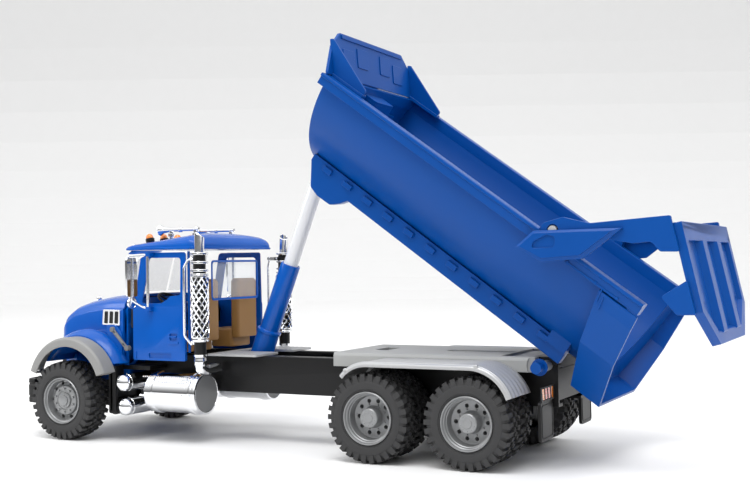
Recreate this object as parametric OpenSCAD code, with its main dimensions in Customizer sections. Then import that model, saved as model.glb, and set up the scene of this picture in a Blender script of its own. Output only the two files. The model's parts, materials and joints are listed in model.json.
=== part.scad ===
// Toy dump truck: a six-wheel tipper with a half-pipe bed that tilts and a tailgate on swing arms.
// The front points to -X and the wheels stand on Z = 0. Lengths along X are measured from the
// front axle, and front_axle_x moves the whole truck so that the origin is its bottom centre.
// The bed is drawn lowered and the tailgate closed; bed_tilt and gate_open turn them to their pose.

/* [Wheels] */
// Tyre diameter
tyre_d = 68; // [64:0.5:68]
// Rim diameter, where the tyre's side wall starts
rim_d = 40; // [36:0.5:42]
// Width of a front tyre
front_tyre_w = 25; // [20:0.5:26]
// Width of one tyre of a rear pair
rear_tyre_w = 22.5; // [18:0.5:23]
// Gap between the two tyres of a rear pair
dual_gap = 3; // [2:0.5:4]
// Outer face of the front tyres, from the middle plane
front_face_y = 85.5; // [84:0.5:86]
// Outer face of the rear tyres, from the middle plane
rear_face_y = 87; // [86:0.5:88]
// Diameter of the axles
axle_d = 6; // [5:0.5:7]
// Distance from the front axle to the first rear axle
wheelbase = 300; // [298:1:302]
// Distance between the two rear axles
tandem = 79.5; // [78:0.5:81]

/* [Frame] */
// Height of the top of the frame rails
rail_top = 73; // [72:0.5:73]
// Height of the bottom of the frame rails
rail_bottom = 42; // [41:0.5:44]
// Outer face of a frame rail, from the middle plane
rail_y = 33; // [32:0.5:33]
// Sheet thickness of the frame rails
rail_t = 2.4; // [2:0.2:3]
// Front end of the frame rails
rail_front_x = -46; // [-46:1:-44]
// Rear end of the frame rails
rail_rear_x = 431; // [430:1:431]
// Position of the truck's front axle from the origin
front_axle_x = -249; // [-300:1:-200]

/* [Cab] */
// Half of the cab's width
cab_half_w = 60; // [58:0.5:60]
// Front of the cab at the foot of the windscreen
cab_front_x = 48; // [47:0.5:49]
// Rear face of the cab
cab_rear_x = 125; // [124:0.5:126]
// Underside of the cab
cab_bottom_z = 66; // [65:0.5:67]
// Height of the belt line below the windows
belt_z = 115; // [113:0.5:116]
// Height of the gutter under the roof
gutter_z = 164; // [163:0.5:165]
// Height of the crown of the roof
roof_z = 178.5; // [177:0.5:180]
// Wall thickness of the moulded shells
shell_t = 2.4; // [2:0.2:3]

/* [Hood] */
// Front of the hood
hood_front_x = -41; // [-42:0.5:-40]
// Half of the hood's width at the nose
nose_half_w = 41; // [38:0.5:44]
// Height of the hood at the nose
nose_z = 109; // [107:0.5:111]
// Height of the hood at the cowl
cowl_z = 125.5; // [124:0.5:127]
// Inner radius of the front wheel arches
arch_r = 36; // [36:0.5:38]

/* [Bed] */
// Outer radius of the half-pipe
bed_r = 76; // [75:0.5:76]
// Height of the half-pipe's axis with the bed lowered
bed_axis_z = 160; // [159:0.5:160]
// Front face of the bed
bed_front_x = 165; // [164:0.5:166]
// Bottom rear edge of the bed
bed_rear_x = 474; // [473:0.5:475]
// Bottom of the flared rear of the bed
flare_bottom_z = 76; // [75.5:0.5:77]
// Wall thickness of the bed
bed_t = 2.4; // [2:0.2:3]
// Outer face of the top rails, from the middle plane
bed_rail_y = 83.4; // [82:0.2:83.4]
// Depth of the top rails
bed_rail_h = 9; // [8:0.5:10]
// Tilt of the bed
bed_tilt = 36; // [0:1:36]
// Position of the bed's hinge
hinge_x = 423; // [422:0.5:423]
// Height of the bed's hinge
hinge_z = 72.7; // [72:0.1:73]

/* [Tailgate] */
// Opening of the tailgate
gate_open = 41.5; // [0:0.5:41.5]
// Position of the tailgate's pivot with the bed lowered
gate_pivot_x = 384; // [383:0.5:385]
// Height of the tailgate's pivot with the bed lowered
gate_pivot_z = 165.5; // [165:0.5:166]
// Half of the tailgate's width
gate_half_w = 84; // [84:0.1:84.2]
// Forward lean of the closed tailgate
gate_lean = 6.8; // [6:0.1:7]

/* [Ram] */
// Position of the ram's lower pivot
ram_x = 144; // [143:0.5:145]
// Height of the ram's lower pivot
ram_z = 52; // [51.5:0.5:52.5]
// Position of the ram's upper pivot with the bed lowered
ram_top_x = 140; // [139:0.5:141]
// Height of the ram's upper pivot with the bed lowered
ram_top_z = 164; // [163.5:0.5:164.5]
// Diameter of the ram's casing
casing_d = 17; // [16.5:0.1:17.5]
// Diameter of the ram's first tube
tube_d = 12.6; // [12.4:0.1:12.8]
// Diameter of the ram's rod
rod_d = 8; // [7.6:0.1:8.2]

/* [Hidden] */
$fn = 64;
BLUE = "#0a4fc0";
BLACK = "#1c1d20";
CHROME = "#c9ccd2";
GREY = "#9a9c9f";
SILVER = "#b9bbbd";
TYRE = "#2b2b2d";
TAN = "#b98a4e";
WHITE = "#e9eaec";
AMBER = "#f08a1c";
CLEAR = "#cfe0ee";
EPS = 0.02;
RUN = 0.08;
GAP = 0.3;
BIG = 400;
axle_z = tyre_d / 2;
mid_x = wheelbase;
rear_x = wheelbase + tandem;
web_y = rail_y - rail_t;
pillar_lean = 12;
door_front_x = 59.2;
door_rear_x = 114.5;
door_bottom_z = 69;
door_top_z = 161.5;
door_t = 2.6;
window_z = [118, 157];
window_x = [68, 109];
rear_window = [34, 122, 152];
mirror_pos = [79, 64];
mirror_pin_d = 2.6;
mirror_lug_z = [111.5, 158];
mirror_lug_h = 3.5;
arch_x = 6;
arch_z = 45;
arch_w = 8;
arch_y = [70, 86];
fender_y = 52;
hood_hinge = [-43, 55];
hood_pin_d = 4;
floor_z = 76;
roof_light_x = 63;
roof_light_y = [-40, -20, 0, 20, 40];
horn_y = 27;
horn_post_x = [76, 102];
LARGE_FN = 256;
deck_x = [249, 417];
deck_half_w = 45;
deck_z = [68, 79];
fender_z = 76.5;
fender_t = 2.5;
tank_r = 17;
tank_x = [76, 131];
tank_pos = [53, 42];
stack_pos = [134.5, 66];
stack_z = [64, 177.5];
doghouse_w = 27;
doghouse_depth = 15;
doghouse_top_z = 152;
pipe_in_r = bed_r - bed_t;
pipe_rear_x = 452;
bed_top_z = bed_axis_z - 2;
rail_inner_y = 73;
flare_y = [84, 83, 76, 50];
flare_z = [bed_top_z, 141, 112, flare_bottom_z];
beam_y = [36, 44];
beam_z = 81;
ear_y = [46, 51];
ear_r = 11;
pin_d = 8;
arm_y = [84, 87];
cover_y = 92;
gate_pin_d = 6;
gate_pin_y = 79;
ram_dx = hinge_x - ram_top_x;
ram_dz = ram_top_z - hinge_z;
// Upper pivot of the ram with the bed tilted
ram_up_x = hinge_x - ram_dx * cos(bed_tilt) + ram_dz * sin(bed_tilt);
ram_up_z = hinge_z + ram_dx * sin(bed_tilt) + ram_dz * cos(bed_tilt);
ram_lean = atan2(ram_up_x - ram_x, ram_up_z - ram_z);
ram_len = norm([ram_up_x - ram_x, ram_up_z - ram_z]);
ram_short = norm([ram_top_x - ram_x, ram_top_z - ram_z]);
ram_travel = ram_len - ram_short;
casing_len = 105;
casing_foot = 7;
sleeve_d = 19.6;
sleeve_len = 44;
tube_start = 6;
tube_len = 99;
tube_travel = 88;
rod_start = 8;
head_r = 6.5;
head_w = 8;

// ---- placing ----

// Puts children drawn from the front axle where the truck stands
module on_truck() translate([front_axle_x, 0, 0]) children();

// Turns children drawn with the bed lowered to the bed's pose
module on_bed() {
    on_truck() translate([hinge_x, 0, hinge_z]) rotate([0, bed_tilt, 0])
        translate([-hinge_x, 0, -hinge_z]) children();
}

// Turns children drawn with the tailgate closed to its pose
module on_gate() {
    on_bed() translate([gate_pivot_x, 0, gate_pivot_z]) rotate([0, -gate_open, 0])
        translate([-gate_pivot_x, 0, -gate_pivot_z]) children();
}

// Puts children drawn up the Z axis along the ram, with the lower pivot at the origin
module on_ram() on_truck() translate([ram_x, 0, ram_z]) rotate([0, ram_lean, 0]) children();

// Draws children on both sides of the truck
module both_sides() {
    children();
    mirror([0, 1, 0]) children();
}

// A block from its lowest to its highest corner
module block(low, high) translate(low) cube(high - low);

// An outline in X and Z pushed along Y from y0 to y1
module side_plate(y0, y1) translate([0, y1, 0]) rotate([90, 0, 0]) linear_extrude(y1 - y0) children();

// A round bar along Y
module bar_y(x, z, d, y0, y1) translate([x, y0, z]) rotate([-90, 0, 0]) cylinder(h = y1 - y0, d = d);

// A round bar along X
module bar_x(y, z, d, x0, x1) translate([x0, y, z]) rotate([0, 90, 0]) cylinder(h = x1 - x0, d = d);

// A rectangle with round corners from its lowest to its highest corner
module round_rect(low, high, r) {
    translate([low[0] + r, low[1]]) square([high[0] - low[0] - 2 * r, high[1] - low[1]]);
    translate([low[0], low[1] + r]) square([high[0] - low[0], high[1] - low[1] - 2 * r]);
    for (x = [low[0] + r, high[0] - r], y = [low[1] + r, high[1] - r]) translate([x, y]) circle(r);
}

// Points on an arc
function arc(cx, cy, r, from, to, steps) =
    [for (i = [0 : steps]) let(a = from + (to - from) * i / steps) [cx + r * cos(a), cy + r * sin(a)]];

// ---- frame ----

module frame_rails() color(BLACK) on_truck() both_sides() difference() {
    block([rail_front_x, rail_y - 10, rail_bottom], [rail_rear_x, rail_y, rail_top]);
    block([rail_front_x - 1, rail_y - 11, rail_bottom + rail_t],
        [rail_rear_x + 1, web_y, rail_top - rail_t]);
    bar_y(hinge_x, hinge_z, pin_d, 0, BIG);
}

// Cross beams, the blocks that hold the hinges of the bed and the hood, and the cheeks of the ram
module crossmembers() color(BLACK) on_truck() {
    for (x = [-34, 62, 196, 262]) block([x, -web_y, 47], [x + 8, web_y, 68]);
    both_sides() block([-46, 20.6, 50], [-34, 22.6, 60]);
    bar_y(hood_hinge[0], hood_hinge[1], hood_pin_d, -22, 22);
    difference() {
        union() {
            block([411, -web_y, 47], [431, web_y, 70]);
            block([413, -34.5, rail_top], [430.5, 34.5, 79]);
            block([413, -22, 69], [430.5, 22, 74]);
        }
        bar_y(hinge_x, hinge_z, pin_d, -BIG, BIG);
    }
    both_sides() difference() {
        block([138, 11.5, 47], [150, web_y, 57]);
        bar_y(ram_x, ram_z, 5 + 2 * RUN, 0, 22);
    }
}

module front_bumper() color(BLACK) on_truck() {
    difference() {
        translate([0, 0, 29.5]) linear_extrude(21.5) difference() {
            round_rect([-53, -77], [-33, 77], 5);
            round_rect([-50, -74], [-25, 74], 3);
            translate([-38, -BIG / 2]) square([20, BIG]);
        }
        block([-54, -30, 36], [-52, 30, 45]);
    }
    both_sides() block([-50, 20, 40], [rail_front_x, 32, 50]);
}

module splash_panels() color(BLACK) on_truck() both_sides() {
    block([40, rail_y, 22], [48, 70, 64]);
    block([48, rail_y, 60], [74, 56, 64]);
}

// Blocks under the frame that carry the three axles
module axle_mounts() color(BLACK) on_truck() {
    for (x = [0, mid_x, rear_x]) both_sides() difference() {
        block([x - 9, 23, axle_z - 7], [x + 9, 33, rail_bottom]);
        bar_y(x, axle_z, axle_d + 2 * RUN, 0, BIG);
    }
    for (x = [mid_x, rear_x]) both_sides() difference() {
        block([x - 12, 6, axle_z - 10], [x + 12, 18, rail_bottom + 12]);
        bar_y(x, axle_z, axle_d + 2 * RUN, 0, BIG);
    }
    block([mid_x - 12, -18, rail_bottom + 4], [rear_x + 12, 18, rail_bottom + 12]);
}

module rear_deck() color(GREY) on_truck() difference() {
    union() {
        block([deck_x[0], -deck_half_w, deck_z[0]], [deck_x[1], deck_half_w, deck_z[1]]);
        for (x = [284, 316, 347]) both_sides() block([x, 14, deck_z[1]], [x + 21, 34, deck_z[1] + 1.2]);
    }
    block([deck_x[0] + 3, -deck_half_w + 3, deck_z[0] - 1], [408, deck_half_w - 3, deck_z[1] - 3]);
    block([deck_x[0] - 1, -rail_y - GAP, deck_z[0] - 1], [deck_x[1] + 1, rail_y + GAP, rail_top]);
    block([412.5, -35, deck_z[0] - 1], [deck_x[1] + 1, 35, deck_z[1] + 1]);
    for (x = [269, 388]) block([x, -22, deck_z[1] - 4], [x + 16, 22, deck_z[1] + 1]);
    both_sides() bar_y(hinge_x, hinge_z, 2 * ear_r + 2, deck_half_w - 1.5, BIG);
}

// Side view of a rear fender: front curve, flat top and rear curve
module fender_outline(t) polygon(concat(
    arc(300, fender_z - 30, 30 - t, 140, 90, 10), arc(382, fender_z - 34.5, 34.5 - t, 90, 20, 12),
    arc(382, fender_z - 34.5, 34.5 - t - fender_t, 20, 90, 12),
    arc(300, fender_z - 30, 30 - t - fender_t, 90, 140, 10)));

module rear_fenders() color(SILVER) on_truck() both_sides() difference() {
    union() {
        side_plate(deck_half_w, 88) fender_outline(0);
        side_plate(86.2, 88) fender_outline(1.6);
        side_plate(deck_half_w, deck_half_w + 2) fender_outline(1.6);
        for (y = [53, 61, 69, 77]) side_plate(y, y + 2.5) polygon(concat(
            arc(382, fender_z - 34.5, 35.7, 78, 22, 10), arc(382, fender_z - 34.5, 34, 22, 78, 10)));
    }
    bar_y(hinge_x, hinge_z, 2 * ear_r + 3, deck_half_w - 1, 53);
}

module bed_hinge_pins() color(SILVER) on_truck() both_sides()
    bar_y(hinge_x, hinge_z, pin_d, 20, 52.2);

module tail_light_boxes() color(BLACK) on_truck() both_sides() difference() {
    block([418, rail_y, 47.5], [428, 66, 60.5]);
    for (i = [0 : 3]) block([426.8, 37 + 6.6 * i, 50], [430, 42.2 + 6.6 * i, 58.5]);
}

module tail_lenses() color(AMBER) on_truck() both_sides()
    for (i = [0 : 3]) block([426.8, 37.1 + 6.6 * i, 50.1], [428.4, 42.1 + 6.6 * i, 58.4]);

module mudflaps() color(BLACK) on_truck() both_sides()
    translate([425, 0, 0]) rotate([90, 0, 90]) linear_extrude(2.6) round_rect([35, 20], [63, 47.5], 3);

// ---- tanks and steps ----

module fuel_tanks() color(CHROME) on_truck() both_sides() {
    difference() {
        bar_x(tank_pos[0], tank_pos[1], 2 * tank_r, tank_x[0], tank_x[1]);
        block([tank_x[0] - 1, 0, 0], [tank_x[1] + 1, rail_y + 4, 80]);
    }
    for (x = [tank_x[0] + 7, tank_x[1] - 10]) {
        difference() {
            bar_x(tank_pos[0], tank_pos[1], 2 * tank_r + 2, x, x + 3);
            block([x - 1, 0, 0], [x + 4, rail_y + 4, 80]);
        }
        block([x, rail_y, tank_pos[1] + 2], [x + 3, rail_y + 4, tank_pos[1] + 14]);
        block([x, rail_y, tank_pos[1] + 2], [x + 3, rail_y + 4.5, tank_pos[1] + 10]);
    }
}

module tank_steps() color(CHROME) on_truck() both_sides() {
    for (step = [[63, 72, 56.5], [68, 77, 41]]) {
        difference() {
            block([tank_x[0] + 1, step[0], step[2] - 6], [tank_x[1] - 4, step[1], step[2]]);
            bar_x(tank_pos[0], tank_pos[1], 2 * tank_r + 2.4, 0, BIG);
        }
        for (x = [tank_x[0] + 4 : 4 : tank_x[1] - 9])
            block([x, step[1] - 6, step[2]], [x + 2, step[1] - 0.5, step[2] + 1]);
    }
    for (x = [tank_x[0] + 12, tank_x[1] - 16]) difference() {
        block([x, 64, 36], [x + 3, 71, 55]);
        bar_x(tank_pos[0], tank_pos[1], 2 * tank_r + 2.4, 0, BIG);
    }
}

module air_tanks() color(CHROME) on_truck() both_sides() for (p = [[57, 50], [59, 30]]) {
    bar_y(p[0], p[1], 15, 35, 70);
    translate([p[0], 70, p[1]]) intersection() {
        sphere(d = 15);
        translate([-10, 0, -10]) cube(20);
    }
    block([p[0] - 3, rail_y, 44], [p[0] + 3, 36, 47]);
    block([49, 36, p[1] - 2], [p[0] - 6, 40, p[1] + 2]);
}

module catwalk() color(SILVER) on_truck() difference() {
    block([127, -46, rail_top], [177, 46, rail_top + 2.2]);
    block([131, -12, rail_top - 1], [178, 12, rail_top + 4]);
}

// ---- cab ----

// Side view of the cab, drawn inwards by t
module cab_side(t) polygon([[cab_front_x + 2.5 + t, cab_bottom_z + t], [cab_rear_x - t, cab_bottom_z + t],
    [cab_rear_x - t, gutter_z + 4 - t], [cab_front_x + pillar_lean + t, gutter_z + 4 - t],
    [cab_front_x + t, cowl_z - t / 2], [cab_front_x + 2.5 + t, belt_z]]);

module cab_block(t) intersection() {
    side_plate(-cab_half_w + t, cab_half_w - t) cab_side(t);
    linear_extrude(BIG) round_rect([cab_front_x - 5, -cab_half_w + t], [cab_rear_x - t, cab_half_w - t], 8);
}

module window_outline() polygon([[window_x[0], window_z[0]], [window_x[0] + 20, window_z[0]],
    [window_x[0] + 27, window_z[0] + 6], [window_x[1], window_z[0] + 6.5], [window_x[1], window_z[1]],
    [window_x[0] + 8, window_z[1]]]);

module door_outline(t) polygon([[door_front_x + t, door_bottom_z + t], [door_rear_x - t, door_bottom_z + t],
    [door_rear_x - t, door_top_z - t], [door_front_x + 8 + t, door_top_z - t], [door_front_x + t, belt_z]]);

module cab_shell() color(BLUE) on_truck() difference() {
    cab_block(0);
    difference() {
        cab_block(shell_t);
        block([cab_front_x, -BIG, cab_bottom_z], [cab_rear_x, BIG, floor_z]);
    }
    both_sides() side_plate(cab_half_w - shell_t - 1, cab_half_w + 1) door_outline(-GAP);
    block([cab_rear_x - 5, -rear_window[0], rear_window[1]], [cab_rear_x + 1, rear_window[0], rear_window[2]]);
    difference() {
        block([cab_front_x - 5, -52, cowl_z + 2], [cab_front_x + 14, 52, gutter_z - 2]);
        block([cab_front_x - 6, -1.5, cowl_z], [cab_front_x + 16, 1.5, gutter_z]);
    }
    block([cab_front_x - 1, -rail_y - 1, cab_bottom_z - 1], [cab_rear_x + 1, rail_y + 1, rail_top]);
}

module cab_roof() color(BLUE) on_truck() intersection() {
    difference() {
        translate([0, 0, gutter_z + 1]) linear_extrude(BIG)
            round_rect([cab_front_x + 2, -cab_half_w - 1.5], [cab_rear_x + 3, cab_half_w + 1.5], 9);
        cab_block(0);
        block([cab_front_x + 16, -50, 0], [cab_rear_x - 8, 50, roof_z - 5]);
        for (y = roof_light_y) translate([roof_light_x, y, 172]) cylinder(h = BIG, d = 8.2);
        for (x = horn_post_x, y = [-horn_y, horn_y]) translate([x, y, 172]) cylinder(h = BIG, d = 3.6);
    }
    bar_x(0, roof_z - 300, 600, 0, BIG, $fn = LARGE_FN);
    bar_y(92, roof_z - 150, 300, -BIG, BIG, $fn = LARGE_FN);
}

module dashboard() color(BLACK) on_truck() {
    block([54, -56.5, 96], [70, 56.5, 117]);
    translate([78, -30, 104]) rotate([0, -58, 0]) translate([0, 0, -9]) cylinder(h = 12, d = 5);
}

module seats() color(TAN) on_truck() both_sides() {
    translate([0, 0, floor_z]) linear_extrude(17) round_rect([86, 14], [112, 46], 5);
    side_plate(14, 46) round_rect([109, 84], [119, 138], 4);
}

module steering_wheel() color(BLACK) on_truck() translate([80, -30, 118]) rotate([0, 32, 0]) {
    rotate_extrude() translate([14, 0]) circle(d = 2.6);
    translate([0, 0, -4]) cylinder(h = 5, d = 8);
    for (a = [0, 120, 240]) rotate([0, 90, a]) cylinder(h = 13.4, d = 2.2);
    translate([0, 0, -16]) cylinder(h = 13, d = 3.4);
}

module cab_glass() color(CLEAR) on_truck() {
    both_sides() intersection() {
        block([cab_front_x - 2, 1.5, cowl_z + 2], [cab_front_x + 14, 52, gutter_z - 2]);
        side_plate(0, BIG) polygon([[cab_front_x + 0.6, cowl_z], [cab_front_x + 2.2, cowl_z],
            [cab_front_x + 2.2 + pillar_lean, gutter_z + 4], [cab_front_x + 0.6 + pillar_lean, gutter_z + 4]]);
    }
    block([cab_rear_x - 2.1, -rear_window[0], rear_window[1]], [cab_rear_x - 0.5, rear_window[0], rear_window[2]]);
}

module sun_visor() color(CHROME) on_truck() intersection() {
    side_plate(-48, 48) polygon([[42.8, 160.6], [44.2, 160], [cab_front_x + 2, 166], [cab_front_x + 2, 169.4]]);
    translate([0, 0, 150]) cylinder(h = 40, r = BIG);
}

module roof_lights() color(AMBER) on_truck() for (y = roof_light_y) translate([roof_light_x, y, 0]) {
    translate([0, 0, 172]) cylinder(h = 4, d = 8);
    translate([0, 0, 176]) intersection() {
        sphere(d = 7);
        translate([-5, -5, 0]) cube(10);
    }
}

module air_horns() color(CHROME) on_truck() both_sides() {
    translate([72, horn_y, 181.5]) rotate([0, 90, 0]) {
        cylinder(h = 34, d = 3);
        translate([0, 0, -8]) rotate_extrude() polygon([[0, 0], [5, 0], [3.4, 3], [2.2, 8], [1.2, 16], [0, 16]]);
    }
    for (x = horn_post_x) translate([x, horn_y, roof_z - 5]) cylinder(h = 7.5, d = 3.4);
}

module grab_handles() color(CHROME) on_truck() both_sides() {
    translate([117.6, 65, 84]) cylinder(h = 71, d = 2.4);
    for (z = [84, 155]) bar_y(117.6, z, 2.8, cab_half_w, 66.2);
}

module exhaust_stacks() color(CHROME) on_truck() both_sides() {
    translate([stack_pos[0], stack_pos[1], stack_z[0]]) {
        cylinder(h = 18, d = 10);
        translate([0, 0, 18]) cylinder(h = 62, d = 9.4);
        translate([0, 0, 80]) cylinder(h = 12, d = 11);
        difference() {
            translate([0, 0, 92]) cylinder(h = stack_z[1] - stack_z[0] - 92, d = 8.6);
            translate([0, 0, 94]) cylinder(h = 40, d = 6.4);
        }
    }
    translate([stack_pos[0], stack_pos[1], stack_z[0]]) sphere(d = 10);
    for (z = [86, 152]) block([cab_rear_x - EPS, 55, z], [stack_pos[0] - 3, 59, z + 4]);
    for (z = [86, 152]) block([stack_pos[0] - 4, 55, z], [stack_pos[0] + 1, 63, z + 4]);
    block([stack_pos[0] - 4, rail_y, stack_z[0] - 4], [stack_pos[0] + 4, stack_pos[1], stack_z[0] + 3]);
}

// Heat shields around the outer half of the stacks, with diamond holes
module stack_shields() color(CHROME) on_truck() both_sides() translate([stack_pos[0], stack_pos[1], 0])
    difference() {
        translate([0, 0, 90]) cylinder(h = 50, d = 14.4);
        translate([0, 0, 89]) cylinder(h = 52, d = 12.6);
        translate([-10, -12, 89]) cube([20, 8, 52]);
        for (i = [0 : 5], a = [-80, -40, 0, 40, 80]) translate([0, 0, 95 + i * 8]) rotate([0, 0, a])
            translate([-1.6, 0, 0]) rotate([0, 45, 0]) cube([2.6, 12, 2.6]);
    }

module engine_block() color(GREY) on_truck() {
    block([-22, -17, 58], [34, 17, 96]);
    for (x = [-18 : 9 : 27]) bar_x(0, 98, 10, x, x + 7);
    bar_x(0, 82, 26, -30, -22 + EPS);
    both_sides() block([-8, 16, 62], [2, web_y, 68]);
}

// ---- hood ----

// Side view of the hood, drawn inwards by t
module hood_side(t) polygon([[hood_front_x + t, 72], [hood_front_x + t, 98], [hood_front_x + 1.5 + t, nose_z - 4 - t],
    [hood_front_x + 6 + t, nose_z - t], [-22, 116 - t], [0, 121.2 - t], [24, 124.3 - t],
    [cab_front_x - 0.6 + t, cowl_z - t], [cab_front_x - 0.6 + t, 72]]);

// Plan of the hood, drawn inwards by t
module hood_plan(t) polygon([[hood_front_x - 1, -nose_half_w + t + 6], [hood_front_x + 6, -nose_half_w + t],
    [10, -51 + t], [cab_front_x + 1, -59 + t], [cab_front_x + 1, 59 - t], [10, 51 - t],
    [hood_front_x + 6, nose_half_w - t], [hood_front_x - 1, nose_half_w - t - 6]]);

module hood_block(t) intersection() {
    side_plate(-60, 60) hood_side(t);
    linear_extrude(BIG) hood_plan(t);
    bar_x(0, cowl_z - 165, 330, -60, BIG);
}

module hood_shell() color(BLUE) on_truck() difference() {
    hood_block(0);
    difference() {
        hood_block(shell_t);
        block([hood_front_x - 1, -BIG, 98], [hood_front_x + 5, BIG, 112]);
    }
    block([hood_front_x - 2, -21.2, 71], [hood_front_x + shell_t + 2, 21.2, 98]);
    both_sides() bar_y(arch_x, arch_z, 2 * arch_r + 2 * arch_w - 2, 20, BIG);
    both_sides() block([hood_front_x + 30, 40, 71], [cab_front_x - 4, 70, 74]);
    block([-BIG, -rail_y - 1, 0], [BIG, rail_y + 1, rail_top + 0.6]);
}

// One half ring of an arch, cut off at height cut_z
module arch_ring(r_in, r_out, y0, y1, cut_z) difference() {
    bar_y(arch_x, arch_z, 2 * r_out, y0, y1);
    bar_y(arch_x, arch_z, 2 * r_in, y0 - 1, y1 + 1);
    block([-BIG, y0 - 1, -BIG], [BIG, y1 + 1, cut_z]);
}

module hood_fenders() color(BLUE) on_truck() both_sides() difference() {
    union() {
        arch_ring(arch_r + 3, arch_r + 11, 38, arch_y[0], 66);
        difference() {
            block([arch_x + 36, 50, 66], [cab_front_x - 0.8, 60.7, 94]);
            bar_y(arch_x, arch_z, 2 * arch_r + 14, 40, BIG);
        }
        difference() {
            block([hood_front_x + 1.4, 34, 66], [hood_front_x + 12, 52, 88]);
            bar_y(arch_x, arch_z, 2 * arch_r + 14, 20, BIG);
        }
    }
    hood_block(0);
}

module fender_lips() color(GREY) on_truck() both_sides()
    arch_ring(arch_r, arch_r + arch_w, arch_y[0], arch_y[1], 58);

module grille() color(CHROME) on_truck() {
    difference() {
        union() {
            block([hood_front_x - 2.4, -21, 62], [hood_front_x + 2.2, 21, 97.8]);
            both_sides() {
                block([hood_front_x - 4.5, 14, hood_hinge[1]], [hood_front_x + 0.5, 20, 66]);
                bar_y(hood_hinge[0], hood_hinge[1], 7, 14, 20);
            }
        }
        for (y = [-17.5 : 5 : 17.5]) block([hood_front_x - 3, y - 1.3, 66], [hood_front_x + 0.6, y + 1.3, 94]);
        bar_y(hood_hinge[0], hood_hinge[1], hood_pin_d + 2 * RUN, -BIG, BIG);
    }
    difference() {
        union() {
            translate([-30, 0, 108]) cylinder(h = 9, d = 7);
            translate([-30, 0, 116]) sphere(d = 6);
        }
        hood_block(0);
    }
}

module headlamps() color(CLEAR) on_truck() both_sides() {
    bar_x(28.6, 86, 13, hood_front_x - 3.2, hood_front_x);
}

module side_vents() color(CHROME) on_truck() both_sides()
    translate([33, 51 + 8 * 23 / (cab_front_x - 9), 105]) rotate([0, 0, atan2(8, cab_front_x - 9)]) {
    difference() {
        block([-12, 0, -7], [12, 2.6, 7]);
        for (x = [-10.4, -3.4, 3.6]) block([x, 0.6, -5.4], [x + 5.8, 3, 5.4]);
    }
}

module hood_latches() color(GREY) on_truck() both_sides() translate([45.4, 61.9, 87]) rotate([0, -45, 0]) {
    block([-1.7, -1.2, -12], [1.7, 1.2, 12]);
    for (z = [-12, 12]) bar_y(0, z, 5, -1.2, 1.2);
}

// ---- doors and mirrors ----

module door() color(BLUE) on_truck() difference() {
    union() {
        side_plate(cab_half_w - door_t, cab_half_w) door_outline(0);
        block([104, cab_half_w - EPS, 100], [111, cab_half_w + 1.6, 104]);
        for (z = mirror_lug_z) mirror_lug(z);
    }
    side_plate(cab_half_w - 5, cab_half_w + 1) window_outline();
    translate([mirror_pos[0], mirror_pos[1], 0]) cylinder(h = BIG, d = mirror_pin_d + 2 * RUN);
}

// A lug on the door that holds one end of the mirror's post
module mirror_lug(z) translate([mirror_pos[0], 0, z]) {
    translate([0, mirror_pos[1], 0]) cylinder(h = mirror_lug_h, d = 5.4);
    translate([-2.7, cab_half_w - 1, 0]) cube([5.4, mirror_pos[1] - cab_half_w + 1, mirror_lug_h]);
}

module door_right() door();

module door_left() mirror([0, 1, 0]) door();

module mirror_assembly() color(CHROME) on_truck() translate([mirror_pos[0], mirror_pos[1], 0]) {
    translate([0, 0, mirror_lug_z[0]]) cylinder(h = mirror_lug_z[1] + mirror_lug_h - mirror_lug_z[0], d = mirror_pin_d);
    for (z = [115.6, 154]) rotate([0, 0, 45]) block([-1.2, 0, z], [1.2, 14, z + 2.2]);
    translate([0, 0, 124]) linear_extrude(33) round_rect([-12, 3.5], [-8.4, 17], 1.2);
    bar_x(9.5, 118.6, 10.4, -11.6, -8.8);
    block([-11, 8, 118], [-9.4, 11, 125]);
}

module mirror_right() mirror_assembly();

module mirror_left() mirror([0, 1, 0]) mirror_assembly();

// ---- ram ----

module ram_casing() color(BLUE) on_ram() difference() {
    union() {
        translate([0, 0, -casing_foot]) cylinder(h = casing_foot + casing_len, d = casing_d);
        translate([0, 0, -casing_foot]) cylinder(h = casing_foot + sleeve_len, d = sleeve_d);
        translate([0, 0, sleeve_len - 2]) cylinder(h = 2, d = sleeve_d + 1.4);
        bar_y(0, 0, 5, -21, 21);
    }
    translate([0, 0, 4.5]) cylinder(h = BIG, d = tube_d + 2 * GAP);
}

module ram_tube() color(WHITE) on_ram() translate([0, 0, tube_start + tube_travel]) difference() {
    cylinder(h = tube_len, d = tube_d);
    translate([0, 0, 1.4]) cylinder(h = tube_len, d = rod_d + 2 * GAP);
}

module ram_rod() color(WHITE) on_ram() {
    translate([0, 0, rod_start + ram_travel]) cylinder(h = ram_short - rod_start - 3, d = rod_d);
    translate([0, 0, ram_len]) {
        bar_y(0, 0, 2 * head_r, -head_w / 2, head_w / 2);
        bar_y(0, 0, 3, -head_w / 2 - 3.6, head_w / 2 + 3.6);
    }
}

// ---- bed ----

// The space for the ram in the middle of the front wall
module doghouse(t) block([bed_front_x - 2 + t, -doghouse_w / 2 - t, 60],
    [bed_front_x + doghouse_depth + t, doghouse_w / 2 + t, doghouse_top_z + t]);

module bed_shell() color(BLUE) on_bed() difference() {
    union() {
        difference() {
            bar_x(0, bed_axis_z, 2 * bed_r, bed_front_x, pipe_rear_x);
            bar_x(0, bed_axis_z, 2 * pipe_in_r, bed_front_x + bed_t, BIG * 2);
        }
        intersection() {
            bar_x(0, bed_axis_z, 2 * bed_r, bed_front_x, pipe_rear_x);
            doghouse(bed_t);
        }
    }
    doghouse(0);
    block([0, -BIG, bed_axis_z - bed_rail_h], [BIG * 2, BIG, BIG]);
}

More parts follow.
